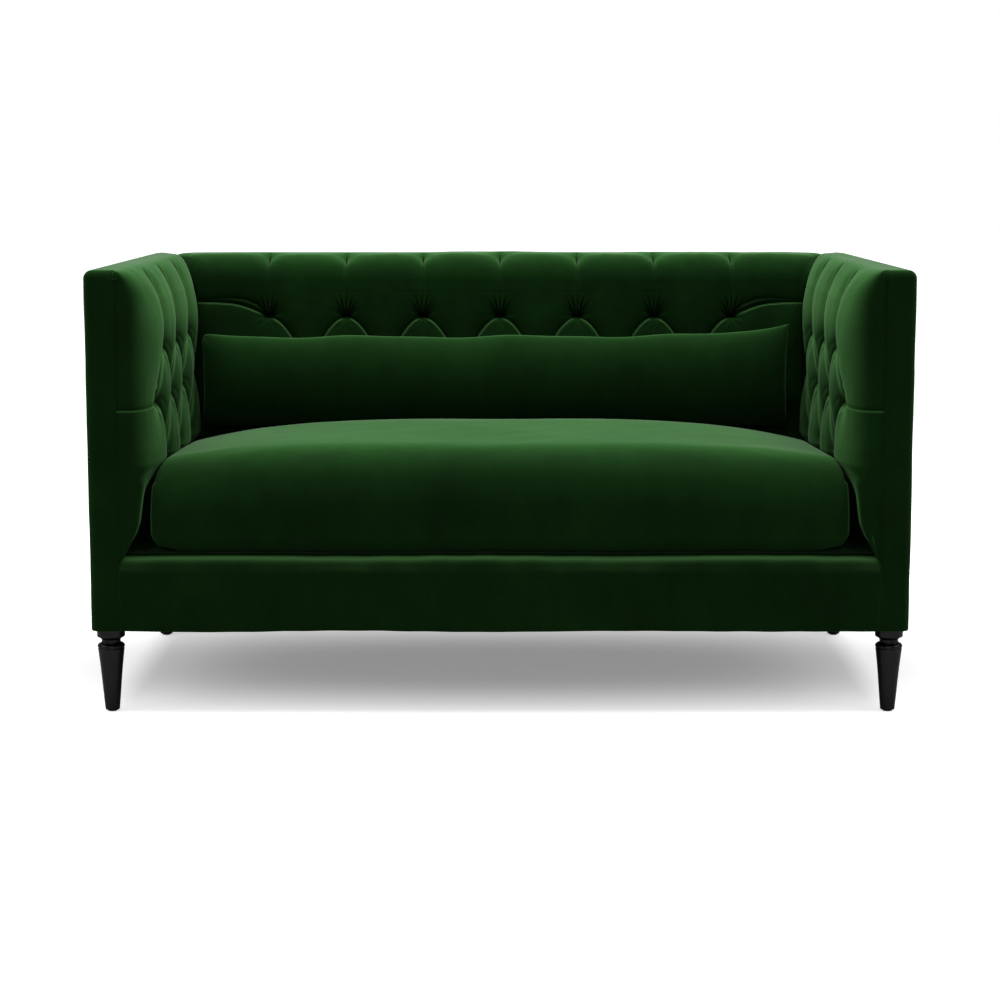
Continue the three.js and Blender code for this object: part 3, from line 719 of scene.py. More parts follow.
def makeBackPad():
    pitch = backPad["pitch"]
    across, height, unrolled, marks = padSection(
        backReach, backPad["wide"], backPad["tall"], padShape["tuck"], padShape["tuck"], backPad
    )
    edge = 3.5 * pitch
    ends = crowded(24, 0.25, "last")[1:]
    middle = np.array(spanColumns(-edge, edge, pitch / 2))
    y = body["rearY"] - across
    limit = mitreX(y) - padShape["seamGap"]
    right = edge + (limit[None, :] - edge) * ends[:, None]
    x = np.concatenate([-right[::-1], np.repeat(middle[:, None], len(across), 1), right])
    shape = x.shape
    points = np.stack([x, np.broadcast_to(y, shape), np.broadcast_to(height, shape)], -1)
    level = np.broadcast_to(unrolled, shape).copy()
    rowTwo = np.arange(-2.5, 2.6, 1) * pitch
    tufts = tuftRows(-backPad["lastTuft"], backPad["lastTuft"], rowTwo, pitch, backPad["rows"])
    roundStart = body["top"] - backPad["tall"]
    flatLevel = unrolled[marks["round"]]
    upward = [(0.69, 0.45), (0.715, 0.2), (roundStart, 0.17), (roundStart + 0.03, 0.4), (flatLevel - 0.024, 1.45)]
    upward += [(flatLevel - 0.004, 1.3), (flatLevel + 0.012, 0.5), (flatLevel + 0.03, 0)]
    pleats = tuftPleats(tufts, upward, pitch, backPad["rows"], 2.0, 0.12)
    for side in (-1, 1):
        pleats += sidePleats(side * backPad["lastTuft"], side, 0.033, 0.7)
        pleats.append(flatPleat(side * 2.5 * pitch, side, backPad["rows"][1], 0.19, [1, 0.9, 0.8]))
    inset, fold, rim = tuftedInset(x, level, tufts, pleats, backPad["seed"])
    exposed = np.zeros(shape)
    exposed[:, marks["flat"]: marks["backFoot"]] = 1
    inset = inset * exposed
    dipped = np.zeros(shape)
    dipped[:, 2: marks["backFoot"]] = 1
    inset += seamDip(mitreAway(np.abs(x), points[..., 1])) * dipped
    inset += waves(points, backPad["seed"], [(0.35, 0.0010), (0.09, 0.0005), (0.035, 0.00018)]) * exposed
    points = points - coverNormals(points, (0, -1, 0), marks) * inset[..., None]
    points[..., 1] = np.minimum(points[..., 1], body["rearY"])
    for column, side in ((0, -1), (-1, 1)):
        points[column, :, 0] = side * (mitreX(points[column, :, 1]) - padShape["seamGap"])
    columns, rows = shape
    faces = gridFaces(columns, rows)
    faces.append(tuple(range(rows)))
    faces.append(tuple((columns - 1) * rows + row for row in range(rows)))
    piece = meshObject("tuftedBackPad", points, faces, 62, fold * exposed, rim * exposed)
    return dress(piece, "velvet", ["inside_back"])


# The grid's normals, turned to point out of the pad, and straight up on its flat top
def coverNormals(points, outward, marks):
    normals = surfaceNormals(points)
    column = points.shape[0] // 2
    row = (marks["face"] + marks["tuck"]) // 2
    if float(np.dot(normals[column, row], outward)) < 0:
        normals = -normals
    normals[:, marks["flat"]: marks["round"]] = (0, 0, 1)
    return normals


def makeArmPad(name, side, node):
    pitch, first = armPad["pitch"], armPad["firstTuft"]
    noseRadius = padShape["noseRadius"]
    spanStart = first - pitch / 2
    nosePower = padShape["nosePower"]
    fullEnd = (1 - (1 - spanStart / noseRadius) ** 2) ** nosePower
    fullness = np.linspace(0, fullEnd, padShape["noseColumns"])[:-1]
    nose = noseRadius * (1 - np.sqrt(1 - fullness ** (1 / nosePower)))
    lastSpan = first + 2.5 * pitch
    columns = list(nose) + spanColumns(spanStart, lastSpan, pitch / 2)
    faceDepth = body["backFace"] - body["frontY"]
    sections = []

    def sectionAt(along):
        ahead = max(1 - along / noseRadius, 0)
        share, lowShare = (1 - (1 - ahead * ahead) ** padShape[key] for key in ("nosePower", "lowNosePower"))
        back = min(along / faceDepth, 1)
        faceReach = armPad["front"] + (armPad["rear"] - armPad["front"]) * back
        end = padShape["wall"] + 0.0006

        deep = 2 * (along + body["frontY"] - cushion["low"][1]) / (cushion["high"][1] - cushion["low"][1]) - 1
        seatFrom = armPad["seatFrom"] - (cushionTop(1.0, -1.0) - cushionTop(1.0, min(deep, 1.0)))

        def reach(levels):
            rise = smooth((levels - seatFrom) / armPad["seatSpan"])
            lean = armPad["seatTaper"] * np.maximum(seatFrom - levels, 0)
            lean = lean + armPad["seatNarrow"] * min(along, armPad["narrowTo"]) * smooth((0.455 - levels) / 0.05)
            full = armPad["seat"] + (faceReach - armPad["seat"]) * rise - lean
            drawn = lowShare + (share - lowShare) * smooth((levels - 0.43) / 0.06)
            return full + (end - full) * drawn

        left, lowLeft = 1 - share, 1 - lowShare
        room = float(reach(np.array([0.7]))[0]) - padShape["wall"] - 0.0002
        wide = max(min(armPad["wide"] * left + 0.0003, room), 0.0002)
        tall = max(armPad["tall"] * left ** 0.5, 0.0002)
        lowRoom = float(reach(np.array([body["padBottom"] + armPad["tuckTall"]]))[0]) - padShape["wall"] - 0.0002
        tuckWide = max(min(armPad["tuckWide"], lowRoom), 0.0002)
        return padSection(reach, wide, tall, tuckWide, max(armPad["tuckTall"] * lowLeft ** 0.5, 0.0004), armPad)

    for along in columns:
        sections.append(sectionAt(along))
    across, height, unrolled, marks = sections[-1]
    limit = np.clip(mitreY(body["halfWidth"] - across), None, body["rearY"])
    limit = limit - roundInset(across, body["edgeRadius"]) - body["frontY"]
    limit = np.where(limit < body["rearY"] - body["frontY"] - 0.001, limit - padShape["seamGap"], limit)
    limit = np.where(height < body["woodTop"] - 0.02, np.minimum(limit, 0.4470 - body["frontY"]), limit)
    ends = crowded(26, 0.35, "last")[1:]
    tail = lastSpan + (limit[None, :] - lastSpan) * ends[:, None]
    for row in range(len(ends)):
        sections.append(sectionAt(lastSpan + (faceDepth - lastSpan) * ends[row]))
    c = np.array([section[0] for section in sections])
    z = np.array([section[1] for section in sections])
    level = np.array([section[2] for section in sections])
    along = np.concatenate([np.repeat(np.array(columns)[:, None], c.shape[1], 1), tail])
    outer = c <= padShape["wall"] + 1e-6
    along = np.where(outer, np.maximum(along, body["coverBack"] - body["frontY"]), along)
    ceiling = body["top"] - roundInset(along, body["edgeRadius"])
    ceiling = np.where(outer, body["top"], ceiling)
    rearRoom = body["rearY"] - body["frontY"] - along
    ceiling = np.where(c < padShape["split"] + 1e-6, ceiling - roundInset(rearRoom, body["edgeRadius"]), ceiling)
    z = np.minimum(z, ceiling)
    z = z - roundInset(along, border["radius"]) * np.clip((body["padBottom"] + 0.04 - z) / 0.04, 0, 1)  # over the border's round
    points = np.stack([side * (body["halfWidth"] - c), body["frontY"] + along, z], -1)
    rowTwo = first + pitch * (np.arange(4) - 0.5)
    tufts = tuftRows(first, armPad["lastTuft"], rowTwo, pitch, armPad["rows"])
    tufts = [(a, z, armPad["frontTuft"] if a < first - 0.01 else depth) for a, z, depth in tufts]
    flatLevel = unrolled[marks["round"]]
    upward = [(0.67, 1.0), (flatLevel - 0.07, 0.95), (flatLevel - 0.04, 0.6), (flatLevel - 0.012, 0)]
    pleats = tuftPleats(tufts, upward, pitch, armPad["rows"], armPad["bellPower"])
    acrossNose = [flatPleat(rowTwo[0], -1, armPad["rows"][1], rowTwo[0] - 0.0005, [1.0, 0.8, 0.7, 0.6, 0.6], 0.16)]
    drops = dict(zip(armPad["rows"], -np.diff(armPad["rows"])))
    for place, height, depth in tufts:
        if height in drops:  # a second, shorter fold behind each pleat that runs to the rear
            second = bellPleat(place + 0.026, height + 0.004, 1, pitch / 2, drops[height], armPad["bellPower"], 0.62)
            pleats.append((second, [0.6, 0.45, 0.25, 0.0], 0.25, -1, 0.6))
    relief = {**tufting, **armPad["relief"]}
    inset, fold, rim = tuftedInset(along, level, tufts, pleats, armPad["seed"] + side, relief)
    thinInset, thinPaintedShade, thinRim = tuftedInset(along, level, [], acrossNose, 0)
    inset, fold, rim = inset + thinInset, np.maximum(fold, thinPaintedShade), np.maximum(rim, thinRim)
    exposed = np.zeros(c.shape)
    exposed[:, marks["flat"]: marks["backFoot"]] = 1
    inset = inset * exposed
    dipped = np.zeros(c.shape)
    dipped[:, 2: marks["backFoot"]] = 1
    inset += seamDip(mitreAway(body["halfWidth"] - c, points[..., 1])) * dipped
    seamArc = np.where(outer, 1.0, np.hypot(along, c - c[0]))
    inset += 0.0012 * np.exp(-(seamArc / 0.006)) * exposed
    inset += waves(points, armPad["seed"] + side, [(0.3, 0.0010), (0.09, 0.0003), (0.035, 0.0001)]) * exposed
    # painted shade on the low inner face beside the cushion, where shade falls
    under = smooth((0.455 - z) / 0.03) * smooth((along - 0.012) / 0.03) * smooth((0.34 - along) / 0.12)
    fold = np.maximum(fold, armPad["underShade"] * under)
    turned = (c - padShape["wall"]) / (armPad["front"] - padShape["wall"])
    # painted light on the nose of the arm
    inNose = smooth((turned - 0.3) / 0.6) * smooth((z - 0.46) / 0.05) * smooth((0.80 - z) / 0.05) * smooth((0.14 - along) / 0.04)
    rim = np.maximum(rim, armPad["napAndNoseLight"] * inNose)
    beyond = smooth((along - 0.13) / 0.05)  # past the nose the face is painted lighter above and darker below, as light and shade fall
    rim = np.maximum(rim, armPad["paintedHighLight"] * smooth((z - 0.66) / 0.07) * smooth((0.81 - z) / 0.04) * beyond)
    fold = np.maximum(fold, armPad["paintedLowShade"] * smooth((0.67 - z) / 0.07) * beyond)
    points = points - coverNormals(points, (-side, 0, 0), marks) * inset[..., None]
    lastX = np.abs(points[-1, :, 0])
    points[-1, :, 1] = np.minimum(mitreY(lastX) - padShape["seamGap"], points[-1, :, 1].max())
    cap = np.arange(c.shape[1]) <= marks["split"]
    points[-1, cap, 1] = body["frontY"] + limit[cap]
    total, rows = c.shape
    faces = gridFaces(total, rows)
    wall, split, backTop = marks["wall"], marks["split"], marks["backTop"]
    faces.append(tuple(range(wall + 1)) + tuple(range(backTop + 1, rows)))
    faces.append(tuple(range(wall + 1, backTop + 1)))
    faces.append((wall, wall + 1, backTop, backTop + 1))
    base = (total - 1) * rows
    faces.append(tuple(base + row for row in list(range(split + 1)) + list(range(backTop + 2, rows))))
    faces.append(tuple(base + row for row in range(split, backTop + 3)))
    piece = meshObject(name, points, faces, 62, fold * exposed, rim * exposed)
    return dress(piece, "velvet", [node])


coverShape = {"hemRadius": 0.003, "step": 0.022, "puff": 0.0012}


# A closed cover: an outline of (place, place, outward, outward) carried through stations of (place, inset)
def loftCover(name, outline, stations, turned=False, seed=1, roughness=0.0005):
    outline = np.array(outline)
    outline, outward = outline[:, :2], outline[:, 2:]
    rings = []
    for place, inset in stations:
        ring = outline - outward * inset
        flat = np.column_stack([ring, np.full(len(ring), place)])
        rings.append(flat[:, [2, 0, 1]] if turned else flat)
    points = np.array(rings)
    spread = np.column_stack([outward, np.zeros(len(outward))])
    spread = spread[:, [2, 0, 1]] if turned else spread
    lift = waves(points, seed, [(0.3, roughness), (0.08, roughness * 0.5)])
    points += spread[None] * lift[..., None]
    rows = len(outline)
    faces = gridFaces(len(stations), rows)
    faces.append(tuple(range(rows)))
    faces.append(tuple((len(stations) - 1) * rows + row for row in range(rows)))
    return meshObject(name, points, faces, 50)


def dense(start, end, step, outward):
    count = max(1, round(math.dist(start, end) / step))
    places = [np.array(start) + (np.array(end) - np.array(start)) * i / count for i in range(count)]
    return [(*place, *outward) for place in places]


def arc(centre, radius, fromAngle, toAngle, count=7):
    angles = np.radians(np.linspace(fromAngle, toAngle, count))
    return [
        (centre[0] + radius * math.cos(a), centre[1] + radius * math.sin(a), math.cos(a), math.sin(a))
        for a in angles
    ]


# The same outline on the other side, still anticlockwise
def mirroredOutline(outline, side):
    if side > 0:
        return outline
    return [(-x, y, -px, py) for x, y, px, py in reversed(outline)]


# Stations from low to high, with a quarter round at either end
def endStations(low, high, step, roundLow, roundHigh):
    stations = []
    for angle in np.linspace(0, math.pi / 2, 6)[:-1]:
        stations.append((low + roundLow * (1 - math.cos(angle + 0)), roundLow * (1 - math.sin(angle))))
    for share in np.linspace(0, 1, max(2, round((high - low) / step))):
        stations.append((low + roundLow + share * (high - low - roundLow - roundHigh), 0.0))
    for angle in np.linspace(0, math.pi / 2, 9)[1:]:
        stations.append((high - roundHigh + roundHigh * math.sin(angle), roundHigh * (1 - math.cos(angle))))
    return stations


def makeFacings():
    front, back = body["frontY"], -0.4390
    outerX, innerX, edge, hem = body["halfWidth"], 0.7060, body["edgeRadius"], 0.0012
    outline = [(innerX, back, 0, 0), (innerX, front + 0.004, 0, 0)]
    outline += [(x, y, 0, 0.5) for x, y, px, py in arc((innerX + hem, front + hem), hem, 180, 250, 4)]
    outline += dense((innerX + hem, front), (outerX - edge, front), 0.006, (0, -1))
    outline += arc((outerX - edge, front + edge), edge, 270, 360, 9)
    outline += [(outerX, back, 1, 0)]
    outline = [(x, y, px, -abs(py) if y < front + 0.003 else py) for x, y, px, py in outline]
    stations = endStations(body["bottom"], body["top"], coverShape["step"], coverShape["hemRadius"], edge)
    for name, side, node in (("armFacingRight", 1, "arm_facing_right"), ("armFacingLeft", -1, "arm_facing_left")):
        piece = loftCover(name, mirroredOutline(outline, side), stations, seed=21 + side, roughness=0.0006)
        dress(piece, "velvet", [node])


def makeOutsideArms():
    outerX, innerX, edge, hem = body["halfWidth"], 0.7540, body["edgeRadius"], 0.002
    outline = [(innerX, body["coverBack"], 0, 0)]
    outline += arc((outerX - hem, body["coverBack"] + hem), hem, 270, 360, 4)
    outline += dense((outerX, body["coverBack"] + 0.01), (outerX, body["rearY"] - edge), 0.022, (1, 0))
    outline += arc((outerX - edge, body["rearY"] - edge), edge, 0, 60, 7)
    stations = endStations(body["bottom"], body["woodTop"], coverShape["step"], hem, hem)
    for name, side, node in (("outsideArmRight", 1, "outside_arm_right"), ("outsideArmLeft", -1, "outside_arm_left")):
        piece = loftCover(name, mirroredOutline(outline, side), stations, seed=31 + side, roughness=0.0009)
        dress(piece, "velvet", [node])


def makeOutsideBack():
    innerY, rear, edge = 0.4490, body["rearY"], body["edgeRadius"]
    x = 0.7537
    corner = body["halfWidth"] - edge
    outline = [(-x, innerY, 0, 0), (x, innerY, 0, 0)]
    outline += arc((corner, rear - edge), edge, 61, 90, 4)
    outline += dense((corner - 0.006, rear), (-corner + 0.006, rear), 0.022, (0, 1))
    outline += arc((-corner, rear - edge), edge, 90, 119, 4)
    stations = endStations(body["bottom"], body["woodTop"], coverShape["step"], 0.002, 0.002)
    piece = loftCover("outsideBackPanel", outline, stations, seed=41, roughness=0.0009)
    dress(piece, "velvet", ["outside_back"])


border = {
    "radius": 0.020,
    "top": 0.3050,
    "back": -0.4067,
    "ledge": 0.2767,
    "inner": -0.4390,
    # painted shade in the crevice under the cushion, and a painted highlight on the border's top edge
    "creviceShade": 1.15,
    "creviceY": -0.4490,
    "edgeLight": 0.42,
}


def makeFrontBorder():
    front, radius, top = body["frontY"], border["radius"], border["top"]
    outline = [(border["inner"], body["bottom"], 0, 0), (border["inner"], border["ledge"], 0, 0)]
    outline += [(border["back"], border["ledge"], 0, 0)]
    outline += [(border["back"], top - 0.004, 0, 0.5), (border["back"] - 0.002, top, 0, 1)]
    outline += dense((border["back"] - 0.006, top), (front + radius, top), 0.006, (0, 1))
    outline += arc((front + radius, top - radius), radius, 90, 180, 11)
    outline += dense((front, top - radius - 0.006), (front, body["bottom"] + 0.003), 0.010, (-1, 0))
    outline += arc((front + 0.003, body["bottom"] + 0.003), 0.003, 180, 270, 4)
    half = body["halfWidth"] - body["padBack"] - 0.0002
    right = endStations(0, half, 0.012, 0.0, 0.0015)[5:]
    stations = [(-place, inset) for place, inset in right][::-1] + right[1:]
    piece = loftCover("frontBorder", outline, stations, turned=True, seed=51, roughness=0.0007)
    depth = np.array([vertex.co.y for vertex in piece.data.vertices])
    # painted shade in the crevice under the cushion's front
    shade = border["creviceShade"] * smooth((depth - border["creviceY"]) / 0.0035)
    piece.data.attributes["fold"].data.foreach_set("value", shade.astype(np.float32))
    height = np.array([vertex.co.z for vertex in piece.data.vertices])
    # a painted highlight along the border's top edge
    lit = border["edgeLight"] * np.exp(-((depth - border["creviceY"] + 0.0035) / 0.003) ** 2) * (height > 0.27)
    piece.data.attributes["rim"].data.foreach_set("value", lit.astype(np.float32))
    dress(piece, "velvet", ["front_border"])


makeFacings()
makeOutsideArms()
makeOutsideBack()
makeFrontBorder()
print("stage: covers ready")


cushion = {
    "low": (-0.6515, -0.442, 0.3053),
    "high": (0.6515, 0.303, 0.4945),
    "endDrop": 0.0275,
    "rearDroop": 0.028,
    "endBulge": 0.0015,
    "cells": (150, 80, 22),
    "topEnd": (0.020, 0.020, 2.0),
    "upright": (0.016, 0.016, 2.0),
    "lowEnd": (0.080, 0.031, 2.0),
    "topFront": (0.165, 0.110, 2.4),
    "topRear": (0.215, 0.080, 2.0),
    "lowFront": (0.024, 0.022, 2.0),
    "shrink": 0.008,
    "cap": 0.024,
    "drawn": 0.0014,
    "cornerShade": 0.42,
    "foreShade": 0.15,
    "pressure": 4.0,
    "frames": 16,
    "seed": 5,
}
pillow = {
    "shift": -0.0110,
    "width": 1.2510,
    "bottom": 0.4807,
    "height": 0.180,
    "middleY": 0.2457,
    "thickness": 0.130,
    "cells": (150, 30),
    "sideDraw": 0.004,
    "cornerRound": 0.022,
    "footGap": 0.0015,
    "lowestFoot": 0.468,
    "earLeft": 0.007,
    "earRight": 0.026,
    "cap": 0.016,
    "pressure": 3.5,
    "frames": 16,
    "seed": 8,
}


# The surface of a box from -1 to 1 in even cells: lattice points and faces
def boxGrid(counts):
    index = {}
    points, faces = [], []

    def at(spot):
        if spot not in index:
            index[spot] = len(points)
            points.append([2 * spot[axis] / counts[axis] - 1 for axis in range(3)])
        return index[spot]

    for axis in range(3):
        one, two = (axis + 1) % 3, (axis + 2) % 3
        for end in (0, counts[axis]):
            for i in range(counts[one]):
                for j in range(counts[two]):
                    corners = []
                    for a, b in ((i, j), (i + 1, j), (i + 1, j + 1), (i, j + 1)):
                        spot = [0, 0, 0]
                        spot[axis], spot[one], spot[two] = end, a, b
                        corners.append(at(tuple(spot)))
                    faces.append(tuple(corners if end else corners[::-1]))
    return np.array(points), faces


# Swells a closed cover under pressure. Pinned points are held, and no point moves past the cap
def inflate(piece, pinned, settings):
    scene = bpy.context.scene
    start = np.array([v.co for v in piece.data.vertices])
    group = piece.vertex_groups.new(name="seam")
    for index in np.flatnonzero(pinned > 0):
        group.add([int(index)], float(pinned[index]), "REPLACE")
    cloth = piece.modifiers.new("swell", "CLOTH")
    cloth.settings.quality = 6
    cloth.settings.mass = 0.35
    cloth.settings.tension_stiffness = 12
    cloth.settings.compression_stiffness = 12
    cloth.settings.shear_stiffness = 6
    cloth.settings.bending_stiffness = 0.8
    cloth.settings.tension_damping = 8
    cloth.settings.compression_damping = 8
    cloth.settings.use_pressure = True
    cloth.settings.uniform_pressure_force = settings["pressure"]
    cloth.settings.effector_weights.gravity = 0
    cloth.settings.vertex_group_mass = "seam"
    cloth.collision_settings.use_collision = False
    cloth.point_cache.frame_start = 1
    cloth.point_cache.frame_end = settings["frames"]
    for step in range(1, settings["frames"] + 1):
        scene.frame_set(step)
        bpy.context.view_layer.update()
    evaluated = piece.evaluated_get(bpy.context.evaluated_depsgraph_get())
    end = np.array([v.co for v in evaluated.data.vertices])
    piece.modifiers.clear()
    piece.vertex_groups.clear()
    scene.frame_set(1)
    moved = end - start
    length = np.linalg.norm(moved, axis=1, keepdims=True)
    held = settings["cap"] * np.tanh(length / settings["cap"]) / np.maximum(length, 1e-9)
    print("swell of", piece.name, "mean", round(float(length.mean()), 4), "most", round(float(length.max()), 4))
    return start + moved * held


# A field of moves over a mesh, evened out from point to point
def evened(piece, moves, rounds):
    edges = np.array([edge.vertices[:] for edge in piece.data.edges])
    count = np.bincount(edges.ravel(), minlength=len(moves))[:, None]
    for turn in range(rounds):
        total = np.zeros_like(moves)
        np.add.at(total, edges[:, 0], moves[edges[:, 1]])
        np.add.at(total, edges[:, 1], moves[edges[:, 0]])
        moves = 0.5 * moves + 0.5 * total / count
    return moves


def setPoints(piece, points):
    piece.data.vertices.foreach_set("co", np.asarray(points, np.float64).astype(np.float32).ravel())
    piece.data.update()


def subdivided(piece):
    finer = piece.modifiers.new("finer", "SUBSURF")
    finer.levels = 1
    finer.render_levels = 1
    return plainMesh(piece, piece.name)


# Rounds the edge where two faces meet: a and b are the distances past the round's start, over its size
def roundEdge(a, b, power):
    inside = (a > 0) & (b > 0)
    pa, pb = np.where(inside, a, 1), np.where(inside, b, 1)
    share = np.where(inside, np.maximum(pa, pb) / (pa ** power + pb ** power) ** (1 / power), 1)
    return share


# The height of the cushion's top before its edges are rounded
def cushionTop(u, v):
    fallen = np.clip((v + 0.6) / 1.6, 0, 1) * np.abs(u) ** 3.5
    return cushion["high"][2] - cushion["endDrop"] * np.abs(u) ** 4 - cushion["rearDroop"] * fallen


def cushionShape(grid, shrink):
    bent = grid * 0.5 + np.sin(grid * math.pi / 2) * 0.5
    low, high = np.array(cushion["low"]), np.array(cushion["high"])
    half, middle = (high - low) / 2, (high + low) / 2
    u, v, w = bent.T
    halfX, halfY = half[0] - cushion["endBulge"], half[1]
    top = cushionTop(u, v)
    x, y = u * halfX, v * halfY
    z = low[2] + (w + 1) / 2 * (top - low[2])

    for key, level, way in (("topEnd", top, 1), ("lowEnd", np.full(len(z), low[2]), -1)):
        sizeX, sizeZ, power = cushion[key]
        a = (np.abs(x) - halfX + sizeX) / sizeX
        b = (way * (z - level) + sizeZ) / sizeZ
        share = roundEdge(a, b, power)
        x = np.sign(x) * np.where(share < 1, halfX - sizeX + a * share * sizeX, np.abs(x))
        z = np.where(share < 1, level + way * (b * share * sizeZ - sizeZ), z)
    sizeX, sizeY, power = cushion["upright"]
    a = (np.abs(x) - halfX + sizeX) / sizeX
    b = (np.abs(y) - halfY + sizeY) / sizeY
    share = roundEdge(a, b, power)
    x = np.sign(x) * np.where(share < 1, halfX - sizeX + a * share * sizeX, np.abs(x))
    y = np.sign(y) * np.where(share < 1, halfY - sizeY + b * share * sizeY, np.abs(y))
    edges = (("topFront", -1, top, 1), ("topRear", 1, top, 1))
    edges += (("lowFront", -1, np.full(len(z), low[2]), -1), ("lowFront", 1, np.full(len(z), low[2]), -1))
    for key, end, level, way in edges:
        sizeY, sizeZ, power = cushion[key]
        a = (end * y - halfY + sizeY) / sizeY
        b = (way * (z - level) + sizeZ) / sizeZ
        share = roundEdge(a, b, power)
        y = np.where(share < 1, end * (halfY - sizeY + a * share * sizeY), y)
        z = np.where(share < 1, level + way * (b * share * sizeZ - sizeZ), z)
    x = x + np.sign(u) * np.abs(u) ** 12 * cushion["endBulge"] * (1 - w * w) * (1 - v ** 4)
    x, y = x * (1 - shrink / half[0]), y * (1 - shrink / half[1])
    z = low[2] + (z - low[2]) * (1 - shrink / (top - low[2]))
    return np.stack([x, y + middle[1], z], -1)


def makeSeatCushion():
    grid, faces = boxGrid(cushion["cells"])
    shrink = cushion["shrink"]
    piece = meshObject("benchSeatCushion", cushionShape(grid, shrink), faces)
    onEnd = np.abs(np.abs(grid[:, 0]) - 1) < 1e-6
    onRim = (np.abs(np.abs(grid[:, 1]) - 1) < 1e-6) | (np.abs(np.abs(grid[:, 2]) - 1) < 1e-6)
    low = cushion["low"][2]
    swollen = inflate(piece, np.where(onEnd & onRim, 0.9, 0.0), cushion)
    full = cushionShape(grid, 0)
    drawn = evened(piece, swollen - full, 12)
    length = np.linalg.norm(drawn, axis=1, keepdims=True)
    setPoints(piece, full + drawn * cushion["drawn"] * np.tanh(length / 0.006) / np.maximum(length, 1e-9))
    points = np.array([vertex.co for vertex in piece.data.vertices])
    points[:, 2] = np.maximum(points[:, 2], low)
    setPoints(piece, points)
    subdivided(piece)
    points = np.array([vertex.co for vertex in piece.data.vertices])
    points[:, 2] += waves(points, cushion["seed"], [(0.4, 0.0010), (0.12, 0.00015)])
    points[:, 2] = np.maximum(points[:, 2], low)
    setPoints(piece, points)
    # painted shade near the rear corners, where arms and pillow shade the top, and on the upper front
    corner = smooth((np.abs(points[:, 0]) - 0.34) / 0.30) * smooth((points[:, 1] - 0.02) / 0.20) * (points[:, 2] > 0.40)
    fore = smooth((-0.31 - points[:, 1]) / 0.08) * smooth((points[:, 2] - 0.42) / 0.03)
    shaded = cushion["cornerShade"] * corner + cushion["foreShade"] * fore
    piece.data.attributes["fold"].data.foreach_set("value", shaded.astype(np.float32))
    return dress(piece, "velvet", ["seat_cushion"], "seat_cushion")


def makePillow():
    columns, rows = pillow["cells"]
    u = crowded(columns, 0.5) * 2 - 1
    v = crowded(rows, 0.45) * 2 - 1
    uu, vv = np.meshgrid(u, v, indexing="ij")
    slack = 0.82
    belly = ((1 - np.abs(uu) ** 12) ** 0.5) * ((1 - np.abs(vv) ** 2.2) ** 0.6)
    halfX = pillow["width"] / 2 - pillow["sideDraw"] * (1 - vv ** 2)
    lift = np.where(uu > 0, pillow["earRight"] * np.abs(uu) ** 6, pillow["earLeft"] * np.abs(uu) ** 14)
    ripple = 0.0024 * np.sin(uu * 11.5 + 0.45) + 0.0010 * np.sin(uu * 23.0 + 0.8) + 0.0016 * uu
    x = pillow["shift"] + uu * halfX
    rearShare = (pillow["middleY"] - cushion["high"][1] + cushion["topRear"][0]) / cushion["topRear"][0]
    sunk = cushion["topRear"][1] * (1 - (1 - rearShare ** cushion["topRear"][2]) ** (1 / cushion["topRear"][2]))
    across = np.clip(x / cushion["high"][0], -1, 1)
    foot = cushionTop(across, 2 * (pillow["middleY"] - cushion["low"][1]) / (cushion["high"][1] - cushion["low"][1]) - 1)
    foot = np.maximum(foot - sunk + pillow["footGap"], pillow["lowestFoot"])
    upper = pillow["bottom"] + pillow["height"] + lift + ripple * (1 - np.abs(uu) ** 8)
    z = foot + (upper - foot) * (vv + 1) / 2
    size = pillow["cornerRound"]
    for way in (-1, 1):
        a = (np.abs(x - pillow["shift"]) - halfX + size) / size
        edge = upper if way > 0 else foot
        b = (way * (z - edge) + size) / size
        share = roundEdge(a, b, 2.0)
        share = np.where((way > 0) & (uu > 0), 1, share)
        x = np.where(share < 1, pillow["shift"] + np.sign(uu) * (halfX - size + a * share * size), x)
        z = np.where(share < 1, edge + way * (b * share * size - size), z)
    points, index = [], {}
    for side in (-1, 1):
        for i in range(columns + 1):
            for j in range(rows + 1):
                rim = i in (0, columns) or j in (0, rows)
                if rim and side > 0:
                    index[(side, i, j)] = index[(-1, i, j)]
                    continue
                y = pillow["middleY"] + side * (0 if rim else belly[i, j] * pillow["thickness"] / 2 * slack)
                index[(side, i, j)] = len(points)
                points.append((x[i, j], y, z[i, j]))
    faces = []
    for side in (-1, 1):
        for i in range(columns):
            for j in range(rows):
                faces.append(tuple(index[(side, a, b)] for a, b in ((i, j), (i + 1, j), (i + 1, j + 1), (i, j + 1))))
    piece = meshObject("lumbarPillow", points, faces)
    pinned = np.zeros(len(points))
    for (side, i, j), place in index.items():
        if i in (0, columns) or j in (0, rows):
            pinned[place] = 0.85
    setPoints(piece, inflate(piece, pinned, pillow))
    subdivided(piece)
    return dress(piece, "velvet", ["lumbar_pillow"], "lumbar_pillow")


makeBackPad()
makeArmPad("tuftedArmPadRight", 1, "inside_arm_right")
makeArmPad("tuftedArmPadLeft", -1, "inside_arm_left")
print("stage: tufted pads ready")


makeSeatCushion()
makePillow()
print("stage: loose cushions ready")


# A Geometry Nodes tree with its named inputs, as wires
def startTree(name, inputs):
    tree = bpy.data.node_groups.new(name, "GeometryNodeTree")
    tree.interface.new_socket("Geometry", in_out="INPUT", socket_type="NodeSocketGeometry")
    for label, kind in inputs.items():
        tree.interface.new_socket(label, in_out="INPUT", socket_type="NodeSocket" + kind)
    tree.interface.new_socket("Geometry", in_out="OUTPUT", socket_type="NodeSocketGeometry")
    sketch = Sketch(tree)
    start = tree.nodes.new("NodeGroupInput")
    return sketch, {label: Wire(sketch, start.outputs[label]) for label in ["Geometry", *inputs]}


